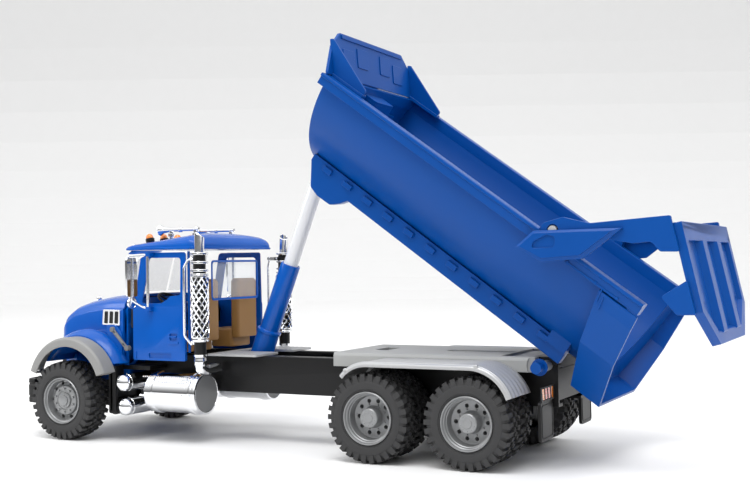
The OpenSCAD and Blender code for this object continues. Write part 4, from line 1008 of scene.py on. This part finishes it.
# ---- hood ----
HOOD_REAR, ARCH = 47.4, (6, 45)
HOOD_TOP = [(-41, 100), (-40.6, 104), (-39, 106.6), (-35, 109.2), (-29, 113), (-22, 116.2), (-11, 119.3),
            (0, 121.4), (12, 123.2),
            (24, 124.4), (36, 125), (HOOD_REAR, 125.4)]
HOOD_HALF = [(-41, 35), (-40, 37.6), (-38, 39.6), (-35, 41.2), (-22, 44), (0, 49), (24, 54.6),
             (HOOD_REAR, 59)]
CREASE = [(-41, 92), (-35, 99), (-22, 106), (0, 110.4), (24, 113), (HOOD_REAR, 113.6)]


def along(table, x):
    """Value at x in a table of (x, value) pairs."""
    for (x0, v0), (x1, v1) in zip(table, table[1:]):
        if x <= x1:
            return v0 + (v1 - v0) * max(0, x - x0) / (x1 - x0)
    return table[-1][1]


def hood_ring(x, t, foot=73.7):
    """Section of the hood across the truck, drawn inwards by t."""
    top, half, crease = along(HOOD_TOP, x) - t, along(HOOD_HALF, x) - t, along(CREASE, x)
    rise = top - crease
    side = [(half, foot), (half, crease - 1.6), (half - 0.4, crease - 0.5), (half - 1.5, crease),
            (half - 2.0, crease + 0.6)]
    for k in range(1, 9):
        a = math.radians(90 * k / 8)
        side.append(((half - 2.0) * math.cos(a) ** 0.62 if k < 8 else 0,
                     crease + 0.6 + (rise - 0.6) * math.sin(a) ** 0.85))
    return [(x, y, z) for y, z in side] + [(x, -y, z) for y, z in side[-2::-1]]


def make_hood():
    """Hood skin, thin all round, open at the rear and over the wheels."""
    xs = [-41, -40.6, -39.8, -38.6, -36.5, -34, -30, -26, -22, -16, -10, -4, 2, 8, 16, 24, 32, 40,
          HOOD_REAR]
    rings = [hood_ring(x, 0) for x in xs]
    shell = as_object("hood_skin", Shape().loft(rings), TRUCK)
    inner = [hood_ring(max(x, -38.4), 2.4, 60) for x in xs[3:]] + [[(HOOD_REAR + 4, y, z) for x, y,
            z in hood_ring(HOOD_REAR, 2.4, 60)]]
    carve(shell, as_object("inside", Shape().loft(inner), TRUCK))
    cut = Shape().rod((ARCH[0], 20, ARCH[1]), (ARCH[0], 90, ARCH[1]), 44, 96)
    carve(shell, as_object("arches", cut, TRUCK, True))
    mouth = Shape().box((-44, -21.3, 60), (-38.4, 21.3, 98))
    carve(shell, as_object("mouth", mouth, TRUCK))
    shell.name = "hood_skin"
    piece("hood_skin", shell, "cab_blue", "hood", ["hood_shell"], bevel=0.25, angle=34)


def arch_sweep(shape, section, start, end, steps):
    """A section of (radius, y) turned about the arch's centre; angles from +X up and over to -X."""
    rings = []
    for i in range(steps + 1):
        a = math.radians(start + (end - start) * i / steps)
        rings.append([(ARCH[0] + r * math.cos(a), y, ARCH[1] + r * math.sin(a)) for r, y in section])
    return shape.loft(rings)


def make_fenders():
    """Bulging fenders and the grey lips on the wheel arches.

    Known fault: the right fender comes out damaged.
    """
    fenders = Shape()
    rings = []
    steps = 48
    for i in range(steps + 1):
        deg = 8 + 148 * i / steps
        a = math.radians(deg)
        outer = 44.4 + 6.2 * (1 - ((deg - 62) / 95) ** 2 if abs(deg - 62) < 95 else 0)
        section = [(39, 70), (43.6, 70), (45, 69.6), (outer - 1.2, 65), (outer, 60.5), (outer - 0.6, 56),
                   (outer - 2.5, 50), (44, 38), (39, 38)]
        rings.append([(ARCH[0] + r * math.cos(a), y, max(66.2, ARCH[1] + r * math.sin(a))) for r,
                      y in section])
    fenders.loft(rings)
    skirt = rounded([(36, 66.2), (47.0, 66.2), (47.0, 92), (40, 99), (30, 99)], [1, 1, 6, 6, 1])
    fenders.prism(skirt, 50, 60.4, SIDE)
    cut = Shape().rod((ARCH[0], 20, ARCH[1]), (ARCH[0], 90, ARCH[1]), 38.4, 96)
    whole = as_object("fenders", fenders, TRUCK, True)
    carve(whole, as_object("wheel_space", cut, TRUCK, True))
    inner = Shape().loft([hood_ring(x, 3.2, 50) for x in (-38.4, -30, -22, -10, 2, 16, 32, HOOD_REAR + 3)])
    carve(whole, as_object("engine_room", inner, TRUCK))
    whole.name = "hood_arches"
    piece("hood_arches", whole, "cab_blue", "hood", ["hood_fenders"], bevel=0.5, angle=30)
    lips = Shape()
    section = rounded([(36, 86), (36, 84.6), (41.6, 84.6), (42.4, 70), (44, 70), (44, 83.8), (42.6, 86)],
                      [0.4, 0.3, 1, 0, 0, 1.6, 1.6], 3)
    arch_sweep(lips, section, 19, 161, 60)
    rib = rounded([(36, 84.7), (38, 84.7), (41.8, 72), (41.8, 70.2), (36, 70.2)], 0)
    for start in (19, 159.4):
        arch_sweep(lips, rib, start, start + 1.6, 2)
    piece("arch_lips", lips, "lip_grey", "hood", ["fender_lips"], bevel=0.3, mirrored=True, angle=35)


def make_hood_trim():
    """Side vents, latches, grille with its hinge eyes, finial and headlamps.

    Known fault: only the front rims of the lamp boxes come out.
    """
    vents = Shape()
    slope = math.atan2(4.4, 23.4)
    frame_place = Matrix.Translation((33, along(HOOD_HALF, 33) + 0.1, 105.3)) @ Matrix.Rotation(slope, 4,
            "Z") @ SIDE
    outer = rounded([(-11.8, -6.6), (11.4, -7), (12, 6.6), (-10.6, 6.9)], 1.2)
    vents.prism(outer, -0.3, 1.2, frame_place)
    cut = Shape()
    for k in (-1, 0, 1):
        x = k * 6.9 + 0.2
        slot = rounded([(x - 2.8, -5.4), (x + 2.4, -5.4), (x + 3.0, 5.2), (x - 1.8, 5.2)], 1.2)
        cut.prism(slot, -0.6, 3, frame_place)
    piece("vent_frames", vents, "chrome", "hood", ["side_vents"], bevel=0.2, mirrored=True, cuts=cut,
          cut_mirrored=True)
    dark = Shape()
    for k in (-1, 0, 1):
        x = k * 6.9 + 0.2
        dark.prism(rounded([(x - 2.9, -5.5), (x + 2.5, -5.5), (x + 3.1, 5.3), (x - 1.9, 5.3)], 1.2), -0.4,
                   0.4, frame_place)
    piece("vent_backs", dark, "black_plastic", "hood", mirrored=True)
    straps = Shape()
    route = [(36.8, 58.2, 95.8), (38.4, 61.2, 94.2), (52.4, 61.6, 80), (54, 60.4, 78.5)]
    for dx in (-1.0, 1.0):
        straps.tube([(x + dx * 0.7, y, z + dx * 0.7) for x, y, z in route], 0.75, 10, 1)
    for x, z in ((37.6, 95), (53.4, 79)):
        straps.rod((x, 58, z), (x, 62.8, z), 2.3, 24, 0.4)
    straps.tube([(41, 61.5, 91.6), (49.5, 61.6, 83)], 1.5, 10)
    piece("hood_straps", straps, "engine_grey", "hood", ["hood_latches"], bevel=0, mirrored=True)
    front = Shape().prism(rounded([(-20.8, 62.2), (20.8, 62.2), (20.8, 96), (18, 98), (-18, 98),
                                   (-20.8, 96)], 1.5), -43.2, -38.9, ACROSS)
    slots = Shape()
    for k in range(8):
        y = -17.5 + 5 * k
        slots.prism(rectangle(y - 1.6, 66, y + 1.6, 94.4, 1), -44, -40.2, ACROSS)
    grille = carve(as_object("grille_plate", front, TRUCK), as_object("slots", slots, TRUCK))
    parts = Shape()
    for side in (-1, 1):
        parts.rod((-43, side * 14, 55), (-43, side * 20, 55), 3.5, 32, 0.3)
        parts.box((-45, min(side * 14.3, side * 19.7), 56), (-41, max(side * 14.3, side * 19.7), 66))
    eyes = as_object("eyes", parts, TRUCK)
    carve(eyes, as_object("bore", Shape().rod((-43, -30, 55), (-43, 30, 55), 2.08, 32), TRUCK))
    finial = Shape().lathe([(0.001, -3), (2.8, -3), (3, 0.2), (1.9, 1.4), (1.3, 3.4), (1.6, 4.4),
                            (2.6, 5.8), (2.8, 7.2), (2.1, 9), (0.9, 9.8),
                            (0.001, 10)], Matrix.Translation((-30, 0, 112.6)), 32)
    whole = joined([grille, eyes, as_object("finial", finial, TRUCK)])
    whole.name = "nose_trim"
    piece("nose_trim", whole, "chrome", "hood", ["grille"], bevel=0.3)
    lamps = Shape()
    for side in (-1, 1):
        place = Matrix.Translation((-44, side * 28.6, 86)) @ Matrix.Rotation(math.pi / 2, 4, "Y")
        lamps.lathe([(0.001, 0), (3.4, 0.2), (5.4, 0.9), (5.6, 0.4), (6.2, 0.3), (6.4, 0.9), (6.4, 3.6),
                     (0.001, 3.6)], place, 40)
    piece("head_lamps", lamps, "lamp_clear", "hood", ["headlamps"], bevel=0)


for make in (make_cab, make_roof, make_doors, make_mirrors, make_cab_inside, make_cab_trim, make_hood,
             make_fenders, make_hood_trim):
    make()

# ---- frame ----
STACK = (134.5, 66)
TANK = (53, 42)


def make_rails():
    """Channel rails with their small ribs.

    Known fault: the ribs and lower tabs are missing from the result.
    """
    rails = Shape()
    section = rounded([(23, 42), (33, 42), (33, 73), (23, 73), (23, 70.6), (30.6, 70.6), (30.6, 44.4),
                       (23, 44.4)],
                      [0.4, 1.2, 1.2, 0.4, 0.4, 0.6, 0.6, 0.4], 3)
    rails.loft([[(x, y, z) for y, z in section] for x in (-46, 431)])
    for x in (66, 90, 114, 152, 181, 210, 239):
        rails.box((x, 32.6, 66.8), (x + 1.2, 33.5, 72.6))
        rails.box((x - 0.8, 32.6, 66), (x + 2, 33.7, 67))
    for x in (205, 251):
        rails.prism([(x - 5, 42.3), (x + 5, 42.3), (x + 2, 39.8), (x - 2, 39.8)], 27, 32.4, SIDE)
    cut = Shape().rod((HINGE.x, 10, HINGE.z), (HINGE.x, 40, HINGE.z), 4, 48)
    piece("rail_channels", rails, "black_plastic", "chassis", ["frame_rails"], bevel=0.25, mirrored=True,
          cuts=cut, cut_mirrored=True)


def make_bumper():
    """Bumper with swept ends, and the splash panels behind the front wheels."""
    bumper = Shape()
    front = [(-52.8, 0), (-52.8, 58), (-51.2, 68), (-47, 75.5), (-38.5, 76.8), (-38.5, 73.4), (-45, 72.4),
             (-48.4, 66), (-49.6, 57), (-49.6, 0)]
    plan = rounded(front[1:9], [3, 3, 3, 0.6, 0.6, 3, 3, 3], 4)
    plan = plan + [(x, -y) for x, y in reversed(plan)]
    rings = []
    for z, d in ((29.6, 1.0), (30.2, 0.3), (33.6, 0), (34.4, 0.8), (35.4, 0.8), (36.2, 0), (45, 0),
                 (45.8, 0.8), (46.8, 0.8), (47.6, 0),
                 (50.4, 0.3), (51, 1.0)):
        rings.append([(x + d if x < -50 else x, y * (1 - d / 77), z) for x, y in plan])
    bumper.loft(rings)
    for side in (-1, 1):
        bumper.box((-50, min(side * 20, side * 32), 40), (-45.5, max(side * 20, side * 32), 50))
        bumper.prism(rectangle(side * 46 - 9, 37.5, side * 46 + 9, 43.5, 2), -53, -51, ACROSS)
    cut = Shape().prism(rectangle(-30, 36, 30, 45, 1.5), -55, -52, ACROSS)
    piece("bumper_bar", bumper, "black_plastic", "chassis", ["front_bumper"], bevel=0.3, cuts=cut)
    panels = Shape()
    plate = rounded([(33.2, 64), (70, 64), (70, 24), (66, 22), (33.2, 22)], [0, 1.5, 3, 2, 1])
    panels.prism(plate, 42, 44.4, ACROSS)
    panels.prism(rounded([(66.4, 63.8), (70, 63.8), (70, 24), (66.4, 22.4)], 1), 40.2, 48, ACROSS)
    panels.prism(rounded([(33.3, 63.9), (36, 63.9), (36, 24), (33.3, 24)], 0.5), 40.2, 48, ACROSS)
    for z in (34, 44, 54):
        panels.box((40.8, 38, z), (47, 66.6, z + 1.4))
    panels.prism(rounded([(42.6, 60.2), (74, 60.2), (74, 63.8), (42.6, 63.8)], 0.8), 33.3, 56, SIDE)
    piece("wheel_splash_panels", panels, "black_plastic", "chassis", ["splash_panels"], bevel=0.25,
          mirrored=True)


def make_deck():
    """Deck over the rear axles, with slots and raised plates.

    Known fault: the raised plates are missing from the result.
    """
    deck = Shape()
    section = rounded([(-45, 68), (-42, 68), (-42, 76), (42, 76), (42, 68), (45, 68), (45, 76.6),
                       (43.6, 79), (-43.6, 79), (-45, 76.6)],
                      [0.3, 0.3, 1.5, 1.5, 0.3, 0.3, 1, 1, 1, 1], 3)
    deck.loft([[(x, y, z) for y, z in section] for x in (249, 417)])
    for side in (-1, 1):
        y0, y1 = sorted((side * 17, side * 40))
        for x0, x1, h in ((282, 311, 1.5), (314, 326, 0.9), (338, 349, 0.9), (356, 372, 1.2)):
            deck.prism(rectangle(x0, y0, x1, y1, 1.2), 78.8, 79 + h)
    whole = as_object("deck", deck, TRUCK)
    for low, high in (((413, -34.8, 60), (418, 34.8, 84)), ((240, -33.3, 60), (420, 33.3, 73)),
                      ((269, -13, 72), (281, 13, 84)),
                      ((388, -36, 77.2), (404, 36, 84)), ((330, -6, 78.2), (386, 6, 84))):
        carve(whole, as_object("slot", Shape().box(low, high), TRUCK))
    carve(whole, as_object("ear_space", Shape().rod((HINGE.x, 43.5, HINGE.z), (HINGE.x, 60, HINGE.z), 12,
                                                    48), TRUCK, True))
    front = as_object("lip", Shape().box((249, -44.6, 73.1), (251.4, 44.6, 77)), TRUCK)
    whole = joined([whole, front])
    whole.name = "tandem_deck"
    piece("tandem_deck", whole, "deck_grey", "chassis", ["rear_deck"], bevel=0.35)


def fender_path():
    """Middle line of a rear fender as (x, z, outward x, outward z, how far the ribs have grown)."""
    out = []
    for x, z in arc(300, 46.5, 28.9, 140, 90, 12):
        a = math.atan2(z - 46.5, x - 300)
        out.append((x, z, math.cos(a), math.sin(a), 0))
    for i in range(1, 12):
        out.append((300 + 82 * i / 12, 75.4, 0, 1, max(0, (i - 9) / 3)))
    for x, z in arc(382, 42, 33.4, 90, 20, 24):
        a = math.atan2(z - 42, x - 382)
        out.append((x, z, math.cos(a), math.sin(a), 1))
    return out


def make_fender_pair():
    """Rear fenders; the ribs grow towards the rear."""
    fenders = Shape()
    steps = 86
    rings = []
    for x, z, nx, nz, grown in fender_path():
        top, low = [], []
        for k in range(steps + 1):
            y = 45 + 43 * k / steps
            wave = 0.0
            if 48 < y < 83:
                wave = grown * 1.15 * (0.5 - 0.5 * math.cos(2 * math.pi * (y - 48) / 7)) ** 0.8
            edge = -1.4 * max(0, (y - 86.2) / 1.8) ** 2 + (0.5 if 83.4 < y < 86.4 else 0)
            top.append((x + nx * (0.5 + wave + edge), y, z + nz * (0.5 + wave + edge)))
            drop = -1.1 if 46 < y < 86.2 else -2.9
            low.append((x + nx * drop, y, z + nz * drop))
        rings.append(top + low[::-1])
    fenders.loft(rings)
    whole = as_object("fenders", fenders, TRUCK, True)
    carve(whole, as_object("ear_space", Shape().rod((HINGE.x, 43.5, HINGE.z), (HINGE.x, 53.4, HINGE.z),
                                                    12.6, 48), TRUCK, True))
    bolts = Shape()
    for x, z in ((282.5, 70.5), (388, 76.2)):
        bolts.rod((x, 84.5, z - 1.2), (x, 88, z - 1.2), 1.7, 20, 0.5)
    whole = joined([whole, as_object("bolts", bolts, TRUCK, True)])
    whole.name = "tandem_fenders"
    piece("tandem_fenders", whole, "silver_plastic", "chassis", ["rear_fenders"], bevel=0, angle=40)


def make_tail():
    """Hinge pins, tail lamps, mudflaps and a blank plate."""
    pins = Shape()
    for side in (-1, 1):
        place = Matrix.Translation((HINGE.x, 0, HINGE.z)) @ Matrix.Rotation(-side * math.pi / 2, 4, "X")
        pins.lathe([(0.001, 20), (3.98, 20), (3.98, 51.4), (3.5, 52.1), (2.4, 52.1), (2.2, 51.9),
                    (0.001, 51.9)], place, 48)
    piece("hinge_pin_pair", pins, "pin_metal", "chassis", ["bed_hinge_pins"], bevel=0)
    box = Shape().prism(rectangle(33.1, 47.6, 66, 60.4, 1.6), 418, 427.8, ACROSS)
    box.prism(rectangle(35.6, 48.8, 64.4, 59.4, 1), 427.6, 428.6, ACROSS)
    slots = Shape()
    for i in range(4):
        y = 39.6 + 6.6 * i
        slots.prism(rounded([(y - 3.1, 50), (y + 1.7, 50), (y + 3.1, 58.5), (y - 1.7, 58.5)], 0.6), 427,
                    430, ACROSS)
    piece("lamp_boxes", box, "black_plastic", "chassis", ["tail_light_boxes"], bevel=0.35, mirrored=True,
          cuts=slots, cut_mirrored=True)
    for label, which, mat in (("amber", (0, 3), "amber_lens"), ("red", (1, 2), RED_LENS)):
        lens = Shape()
        for i in which:
            y = 39.6 + 6.6 * i
            lens.prism(rounded([(y - 2.9, 50.2), (y + 1.6, 50.2), (y + 2.9, 58.3), (y - 1.6, 58.3)], 0.6),
                       426.9, 428.35, ACROSS)
        piece("lamp_lenses_" + label, lens, mat, "chassis", ["tail_lenses"] if label == "amber" else [],
              bevel=0.3, mirrored=True)
    flaps = Shape()
    rings = []
    outline = rectangle(35.2, 20, 62.8, 49, 4, 6)
    for x in (425, 427.4):
        rings.append([(x + 0.012 * (49 - z) ** 1.3 * 0.3, y, z) for y, z in outline])
    flaps.loft(rings)
    inner = [(x, y, z) for x, y, z in ((427.5 + 0.0036 * (49 - z) ** 1.3, y, z) for y,
                                       z in rectangle(37.4, 22.4, 60.6, 46, 3, 6))]
    flaps.tube(inner, 0.35, 6, 0.1, loop=True)
    piece("rear_flaps", flaps, "black_plastic", "chassis", ["mudflaps"], bevel=0.3, mirrored=True)
    plate = Shape().prism(rectangle(24.6, 45.6, 32, 57, 0.8), 431, 431.8, ACROSS)
    plate.prism(rectangle(25.6, 46.6, 31, 56, 0.5), 431.6, 432.2, ACROSS)
    piece("blank_side_plate", plate, "silver_plastic", "chassis", bevel=0.15)


# ---- tanks, steps, stacks ----


def make_tanks():
    """Fuel tanks, steps, air tanks and the catwalk.

    Known fault: only the teeth of the steps come out, without their trays and brackets.
    """
    place = Matrix.Translation((0, TANK[0], TANK[1])) @ Matrix.Rotation(math.pi / 2, 4, "Y")
    profile = [(0.001, 76.4), (14, 76.4), (16.2, 77), (17, 78.4), (17, 82.4), (17.5, 82.7), (18, 83.2),
               (18, 85.8), (17.5, 86.3), (17, 86.6),
               (17, 120.4), (17.5, 120.7), (18, 121.2), (18, 123.8), (17.5, 124.3), (17, 124.6),
               (17, 126.2), (17.4, 126.6), (17.4, 127.6),
               (17, 128), (17, 129.6), (17.4, 130), (17.4, 130.8), (17, 131), (15.8, 131), (15.4, 130.2),
               (0.001, 130.2)]
    tanks = Shape().lathe(profile, place, 96)
    for x in (83.4, 121.4):
        tanks.box((x, 33.1, 45), (x + 2.2, 38, 56))
    piece("tank_pair", tanks, "chrome", "chassis", ["fuel_tanks"], bevel=0, mirrored=True, angle=28)
    caps = Shape().lathe([(0.001, 130.1), (15.3, 130.1), (15.3, 130.7), (15, 130.9), (0.001, 130.9)], place,
                         72)
    piece("tank_end_discs", caps, "engine_grey", "chassis", mirrored=True)
    steps = Shape()
    for y0, y1, z in ((63.2, 71.8, 56.5), (68.2, 76.9, 41)):
        x0, x1 = 77.4, 126.6
        section = rounded([(y0, z - 2), (y1 - 1.4, z - 2), (y1 - 1.4, z - 6), (y1, z - 6), (y1, z),
                           (y0, z)], [0.3, 0.5, 0.3, 0.5, 0.9, 0.3], 3)
        steps.loft([[(x, y, v) for y, v in section] for x in (x0, x1)])
        for k in range(24):
            x = x0 + 0.9 + 2.02 * k
            for y in (y0 + 0.3, y1 - 1.9):
                steps.prism([(x, z - 0.3), (x + 1.7, z - 0.3), (x + 0.85, z + 0.95)], y, y + 1.4, SIDE)
        for k in range(12):
            x = x0 + 2.4 + 4.05 * k
            steps.rod((x, (y0 + y1) / 2, z - 0.4), (x, (y0 + y1) / 2, z + 0.5), 0.9, 12, 0.3)
        for x in (x0 + 0.2, x1 - 1.8):
            steps.box((x, y0, z - 6), (x + 1.6, y1 - 0.2, z - 0.6))
    for x in (88, 115):
        steps.prism([(64, 50.5), (71.8, 50.5), (76, 38), (73, 35), (70, 38)], x, x + 2.6, ACROSS)
    cut = Shape().rod((60, TANK[0], TANK[1]), (140, TANK[0], TANK[1]), 18.1, 72)
    piece("step_treads", steps, "chrome", "chassis", ["tank_steps"], bevel=0, mirrored=True, cuts=cut,
          cut_mirrored=True)
    air = Shape()
    for x, z in ((57, 50), (59, 30)):
        place = Matrix.Translation((x, 0, z)) @ Matrix.Rotation(-math.pi / 2, 4, "X")
        dome = [(7.5 * math.cos(a),
                 70.2 + 6.4 * math.sin(a)) for a in (math.radians(90 * k / 10) for k in range(10))]
        air.lathe([(0.001, 35), (7.2, 35), (7.5, 35.4), (7.5, 66.6), (7.75, 66.9), (7.75, 67.7),
                   (7.5, 68)] + dome + [(0.001, 76.6)], place, 64)
        air.box((x - 3, 33.1, 43.5), (x + 3, 36, 47.5))
    piece("air_tank_set", air, "chrome", "chassis", ["air_tanks"], bevel=0, mirrored=True, angle=30)
    walk = Shape()
    plan = rounded([(127, -46), (176.6, -46), (176.6, -12), (131, -12), (131, 12), (176.6, 12), (176.6, 46),
                    (127, 46)], [1, 4, 1, 1, 1, 1, 4, 1])
    walk.prism(plan, 73.1, 75.0)
    for side in (-1, 1):
        for k in range(9):
            x = 133 + 4.7 * k
            y0, y1 = sorted((side * 15, side * 43))
            walk.prism(rectangle(x, y0, x + 2.2, y1, 0.8), 74.9, 75.35)
    piece("cat_walk", walk, "silver_plastic", "chassis", ["catwalk"], bevel=0.3)


def make_stacks():
    """Exhaust stacks: bright pipes and bands, a dark core and a crossed mesh."""
    place = Matrix.Translation((STACK[0], STACK[1], 0))
    bright = Shape()
    bright.lathe([(0.001, 66.5), (4.6, 66.5), (5.1, 67.4), (5.2, 71.6), (4.9, 72.2), (4.9, 74), (5.5, 74.4),
                  (5.5, 76), (0.001, 76)], place, 48)
    for z in (86.6, 141, 144.6, 151.2, 158.6):
        bright.lathe([(4.2, z), (6.9, z), (7.3, z + 0.5), (7.3, z + 1.5), (6.9, z + 2.0), (4.2, z + 2.0)],
                     place, 48)
    elbow = [(STACK[0], STACK[1], 67.6), (STACK[0], STACK[1] - 0.4, 64),
             (STACK[0] - 0.5, STACK[1] - 6, 62.4), (STACK[0] - 1, 40, 63)]
    bright.tube(elbow, 4.4, 24, 5)
    for z in (88, 153.6):
        bright.box((STACK[0] - 8.6, 55.4, z), (STACK[0] - 3.4, 63.6, z + 3))
        bright.rod((STACK[0] - 9.4, 59.5, z + 1.5), (STACK[0] - 2.6, 59.5, z + 1.5), 1.1, 16, 0.2)
    top = []
    for z, lift in ((158, 0), (166, 0), (172.4, 0.55), (173.0, 0.6)):
        top.append([(STACK[0] + (4.1 if z < 173 else 3.5) * math.cos(a) + (0.4 if lift else 0),
                     STACK[1] + (4.1 if z < 173 else 3.5) * math.sin(a),
                     z + lift * 4.0 * (1 + math.sin(a - 0.9)) * 0.98)
                    for a in (2 * math.pi * k / 40 for k in range(40))])
    hollow = [[(STACK[0] + 3.3 * math.cos(a) + (0.4 if z > 165 else 0), STACK[1] + 3.3 * math.sin(a),
                z + (2.3 * (1 + math.sin(a - 0.9)) if z > 165 else 0))
               for a in (2 * math.pi * k / 40 for k in range(40))] for z in (172.2, 160)]
    bright.loft(top + hollow)
    shield = Shape()
    low, high, r, strips, lead = 90, 140, 6.9, 9, 63.0
    for k in range(strips):
        for turn in (-1, 1):
            route = []
            for i in range(31):
                z = low + (high - low) * i / 30
                a = 2 * math.pi * (k / strips + turn * (z - low) / lead)
                route.append((STACK[0] + r * math.cos(a), STACK[1] + r * math.sin(a), z))
            shield.tube(route, 0.75, 6, 0.01)
    for z in (89.4, 139.6):
        shield.lathe([(6.2, z), (7.2, z), (7.2, z + 1.1), (6.2, z + 1.1)], place, 48)
    piece("stack_pipes", bright, "chrome", "chassis", ["exhaust_stacks"], bevel=0, mirrored=True, angle=30)
    piece("stack_mesh", shield, "chrome", "chassis", ["stack_shields"], bevel=0, mirrored=True, angle=50)
    core = Shape().lathe([(0.001, 75.6), (5.0, 75.6), (5.0, 86.4), (5.4, 87), (5.4, 143), (5.2, 144),
                          (5.2, 158), (4.4, 158.6), (0.001, 158.6)], place, 40)
    piece("stack_cores", core, "black_plastic", "chassis", mirrored=True)


def make_engine():
    """Engine block with side ribs, cylinders and fan."""
    engine = Shape()
    block = rounded([(-16, 58), (16, 58), (17, 62), (17, 90), (14, 96), (-14, 96), (-17, 90), (-17, 62)],
                    [2, 2, 1, 2, 2, 2, 2, 1])
    engine.loft([[(x, y, z) for y, z in block] for x in (-22, 34)])
    for side in (-1, 1):
        for k in range(6):
            x = -18 + 9 * k
            y0, y1 = sorted((side * 16.6, side * 17.9))
            engine.prism(rectangle(x, 64, x + 5, 88, 1), y0, y1, SIDE)
    for k in range(6):
        x = -18 + 9 * k
        engine.rod((x, 0, 98), (x + 7, 0, 98), 5, 32, 0.8)
    place = Matrix.Translation((-30, 0, 82)) @ Matrix.Rotation(math.pi / 2, 4, "Y")
    engine.lathe([(0.001, 1), (3, 1), (3.4, 2.6), (12, 3), (12.2, 2), (13, 2), (13, 8), (0.001, 8)], place,
                 48)
    for k in range(6):
        turn = place @ Matrix.Rotation(math.pi * k / 3, 4, "Z")
        engine.add([turn @ Vector(p) for p in ((3, -1, 1.2), (3, 1.2, 2.8), (12, 2.6, 3.2), (12, -2.2, 1.2),
                                               (3, -1, 2), (3, 1.2, 3.6),
                                               (12, 2.6, 4), (12, -2.2, 2))],
                   [(0, 1, 2, 3), (7, 6, 5, 4), (0, 4, 5, 1), (1, 5, 6, 2), (2, 6, 7, 3), (3, 7, 4, 0)])
    for side in (-1, 1):
        engine.box((-8, min(side * 16, side * 30.5), 62), (2, max(side * 16, side * 30.5), 68))
    piece("engine_unit", engine, "engine_grey", "chassis", ["engine_block"], bevel=0)


for make in (make_rails, make_bumper, make_deck, make_fender_pair, make_tail, make_tanks, make_stacks,
             make_engine):
    make()

# ---- stage ----
CAMERA_AT = (0.43743, -0.82265, 0.14959)
YAW, PITCH, ROLL = (math.radians(d) for d in (27.15, -0.73, -0.8))
LENS = 53.54


def make_camera():
    """Looks along the yaw, turned from +Y towards -X, with a small dip and roll."""
    ahead = Vector((-math.sin(YAW) * math.cos(PITCH), math.cos(YAW) * math.cos(PITCH), -math.sin(PITCH)))
    right = Vector((math.cos(YAW), math.sin(YAW), 0))
    up = right.cross(ahead)
    right, up = (right * math.cos(ROLL) + up * math.sin(ROLL), up * math.cos(ROLL) - right * math.sin(ROLL))
    cam = bpy.data.objects.new("camera", bpy.data.cameras.new("camera"))
    cam.data.lens = LENS
    cam.data.clip_start = 0.01
    cam.matrix_world = Matrix.Translation(CAMERA_AT) @ Matrix((right, up, -ahead)).transposed().to_4x4()
    bpy.context.scene.collection.objects.link(cam)
    bpy.context.scene.camera = cam


def make_light(name, at, target, size, power, color=(1, 1, 1)):
    """An area light that faces a target."""
    lamp = bpy.data.lights.new(name, "AREA")
    lamp.shape = "RECTANGLE"
    lamp.size, lamp.size_y = size
    lamp.energy = power
    lamp.color = color
    obj = bpy.data.objects.new(name, lamp)
    obj.location = at
    obj.rotation_euler = (Vector(target) - Vector(at)).to_track_quat("-Z", "Y").to_euler()
    bpy.context.scene.collection.objects.link(obj)


def make_floor():
    """A pale floor that rises into a pale wall far behind."""
    profile = [(-4, 0), (3.2, 0)] + arc(3.2, 1.2, 1.2, -90, 0, 12) + [(4.4, 6)]
    rings = [[(x, y, z) for y, z in profile] for x in (-8, 8)]
    shape = Shape().loft(rings, caps=False, closed=False)
    floor = as_object("floor", shape, Matrix.Rotation(YAW, 4, "Z"))
    floor.data.materials.append(plastic("floor_white", (0.86, 0.86, 0.86), 0.5, bump=0, tint=0.01))


def make_world():
    """White to the camera; in reflections a bright sky over a dim horizon, as in a studio."""
    world = bpy.data.worlds.new("studio")
    bpy.context.scene.world = world
    world.use_nodes = True
    nodes, links = world.node_tree.nodes, world.node_tree.links
    place = nodes.new("ShaderNodeTexCoord")
    split = nodes.new("ShaderNodeSeparateXYZ")
    links.new(place.outputs["Generated"], split.inputs["Vector"])
    ramp = nodes.new("ShaderNodeValToRGB")
    stops = [(0.0, 0.5), (0.49, 0.3), (0.53, 0.12), (0.62, 0.45), (0.75, 1.2), (1.0, 1.6)]
    spread = nodes.new("ShaderNodeMapRange")
    spread.inputs["From Min"].default_value = -1
    links.new(split.outputs["Z"], spread.inputs["Value"])
    links.new(spread.outputs["Result"], ramp.inputs["Fac"])
    elements = ramp.color_ramp.elements
    while len(elements) < len(stops):
        elements.new(0.5)
    for element, (at, value) in zip(elements, stops):
        element.position = at
        element.color = (value, value, value, 1)
    mix = nodes.new("ShaderNodeMix")
    mix.data_type = "RGBA"
    rays = nodes.new("ShaderNodeLightPath")
    links.new(rays.outputs["Is Camera Ray"], mix.inputs["Factor"])
    links.new(ramp.outputs["Color"], mix.inputs["A"])
    mix.inputs["B"].default_value = (1, 1, 1, 1)
    links.new(mix.outputs["Result"], nodes["Background"].inputs["Color"])


make_camera()
make_floor()
make_world()
make_light("key", (0.15, -0.75, 1.8), (0, 0, 0.1), (1.3, 0.8), 20)
make_light("side", (-1.6, -0.7, 0.9), (-0.1, 0, 0.1), (0.8, 0.8), 8)
make_light("rim", (1.4, 0.9, 1.1), (0.1, 0, 0.15), (0.9, 0.6), 9)
bpy.context.scene.view_settings.view_transform = "Standard"
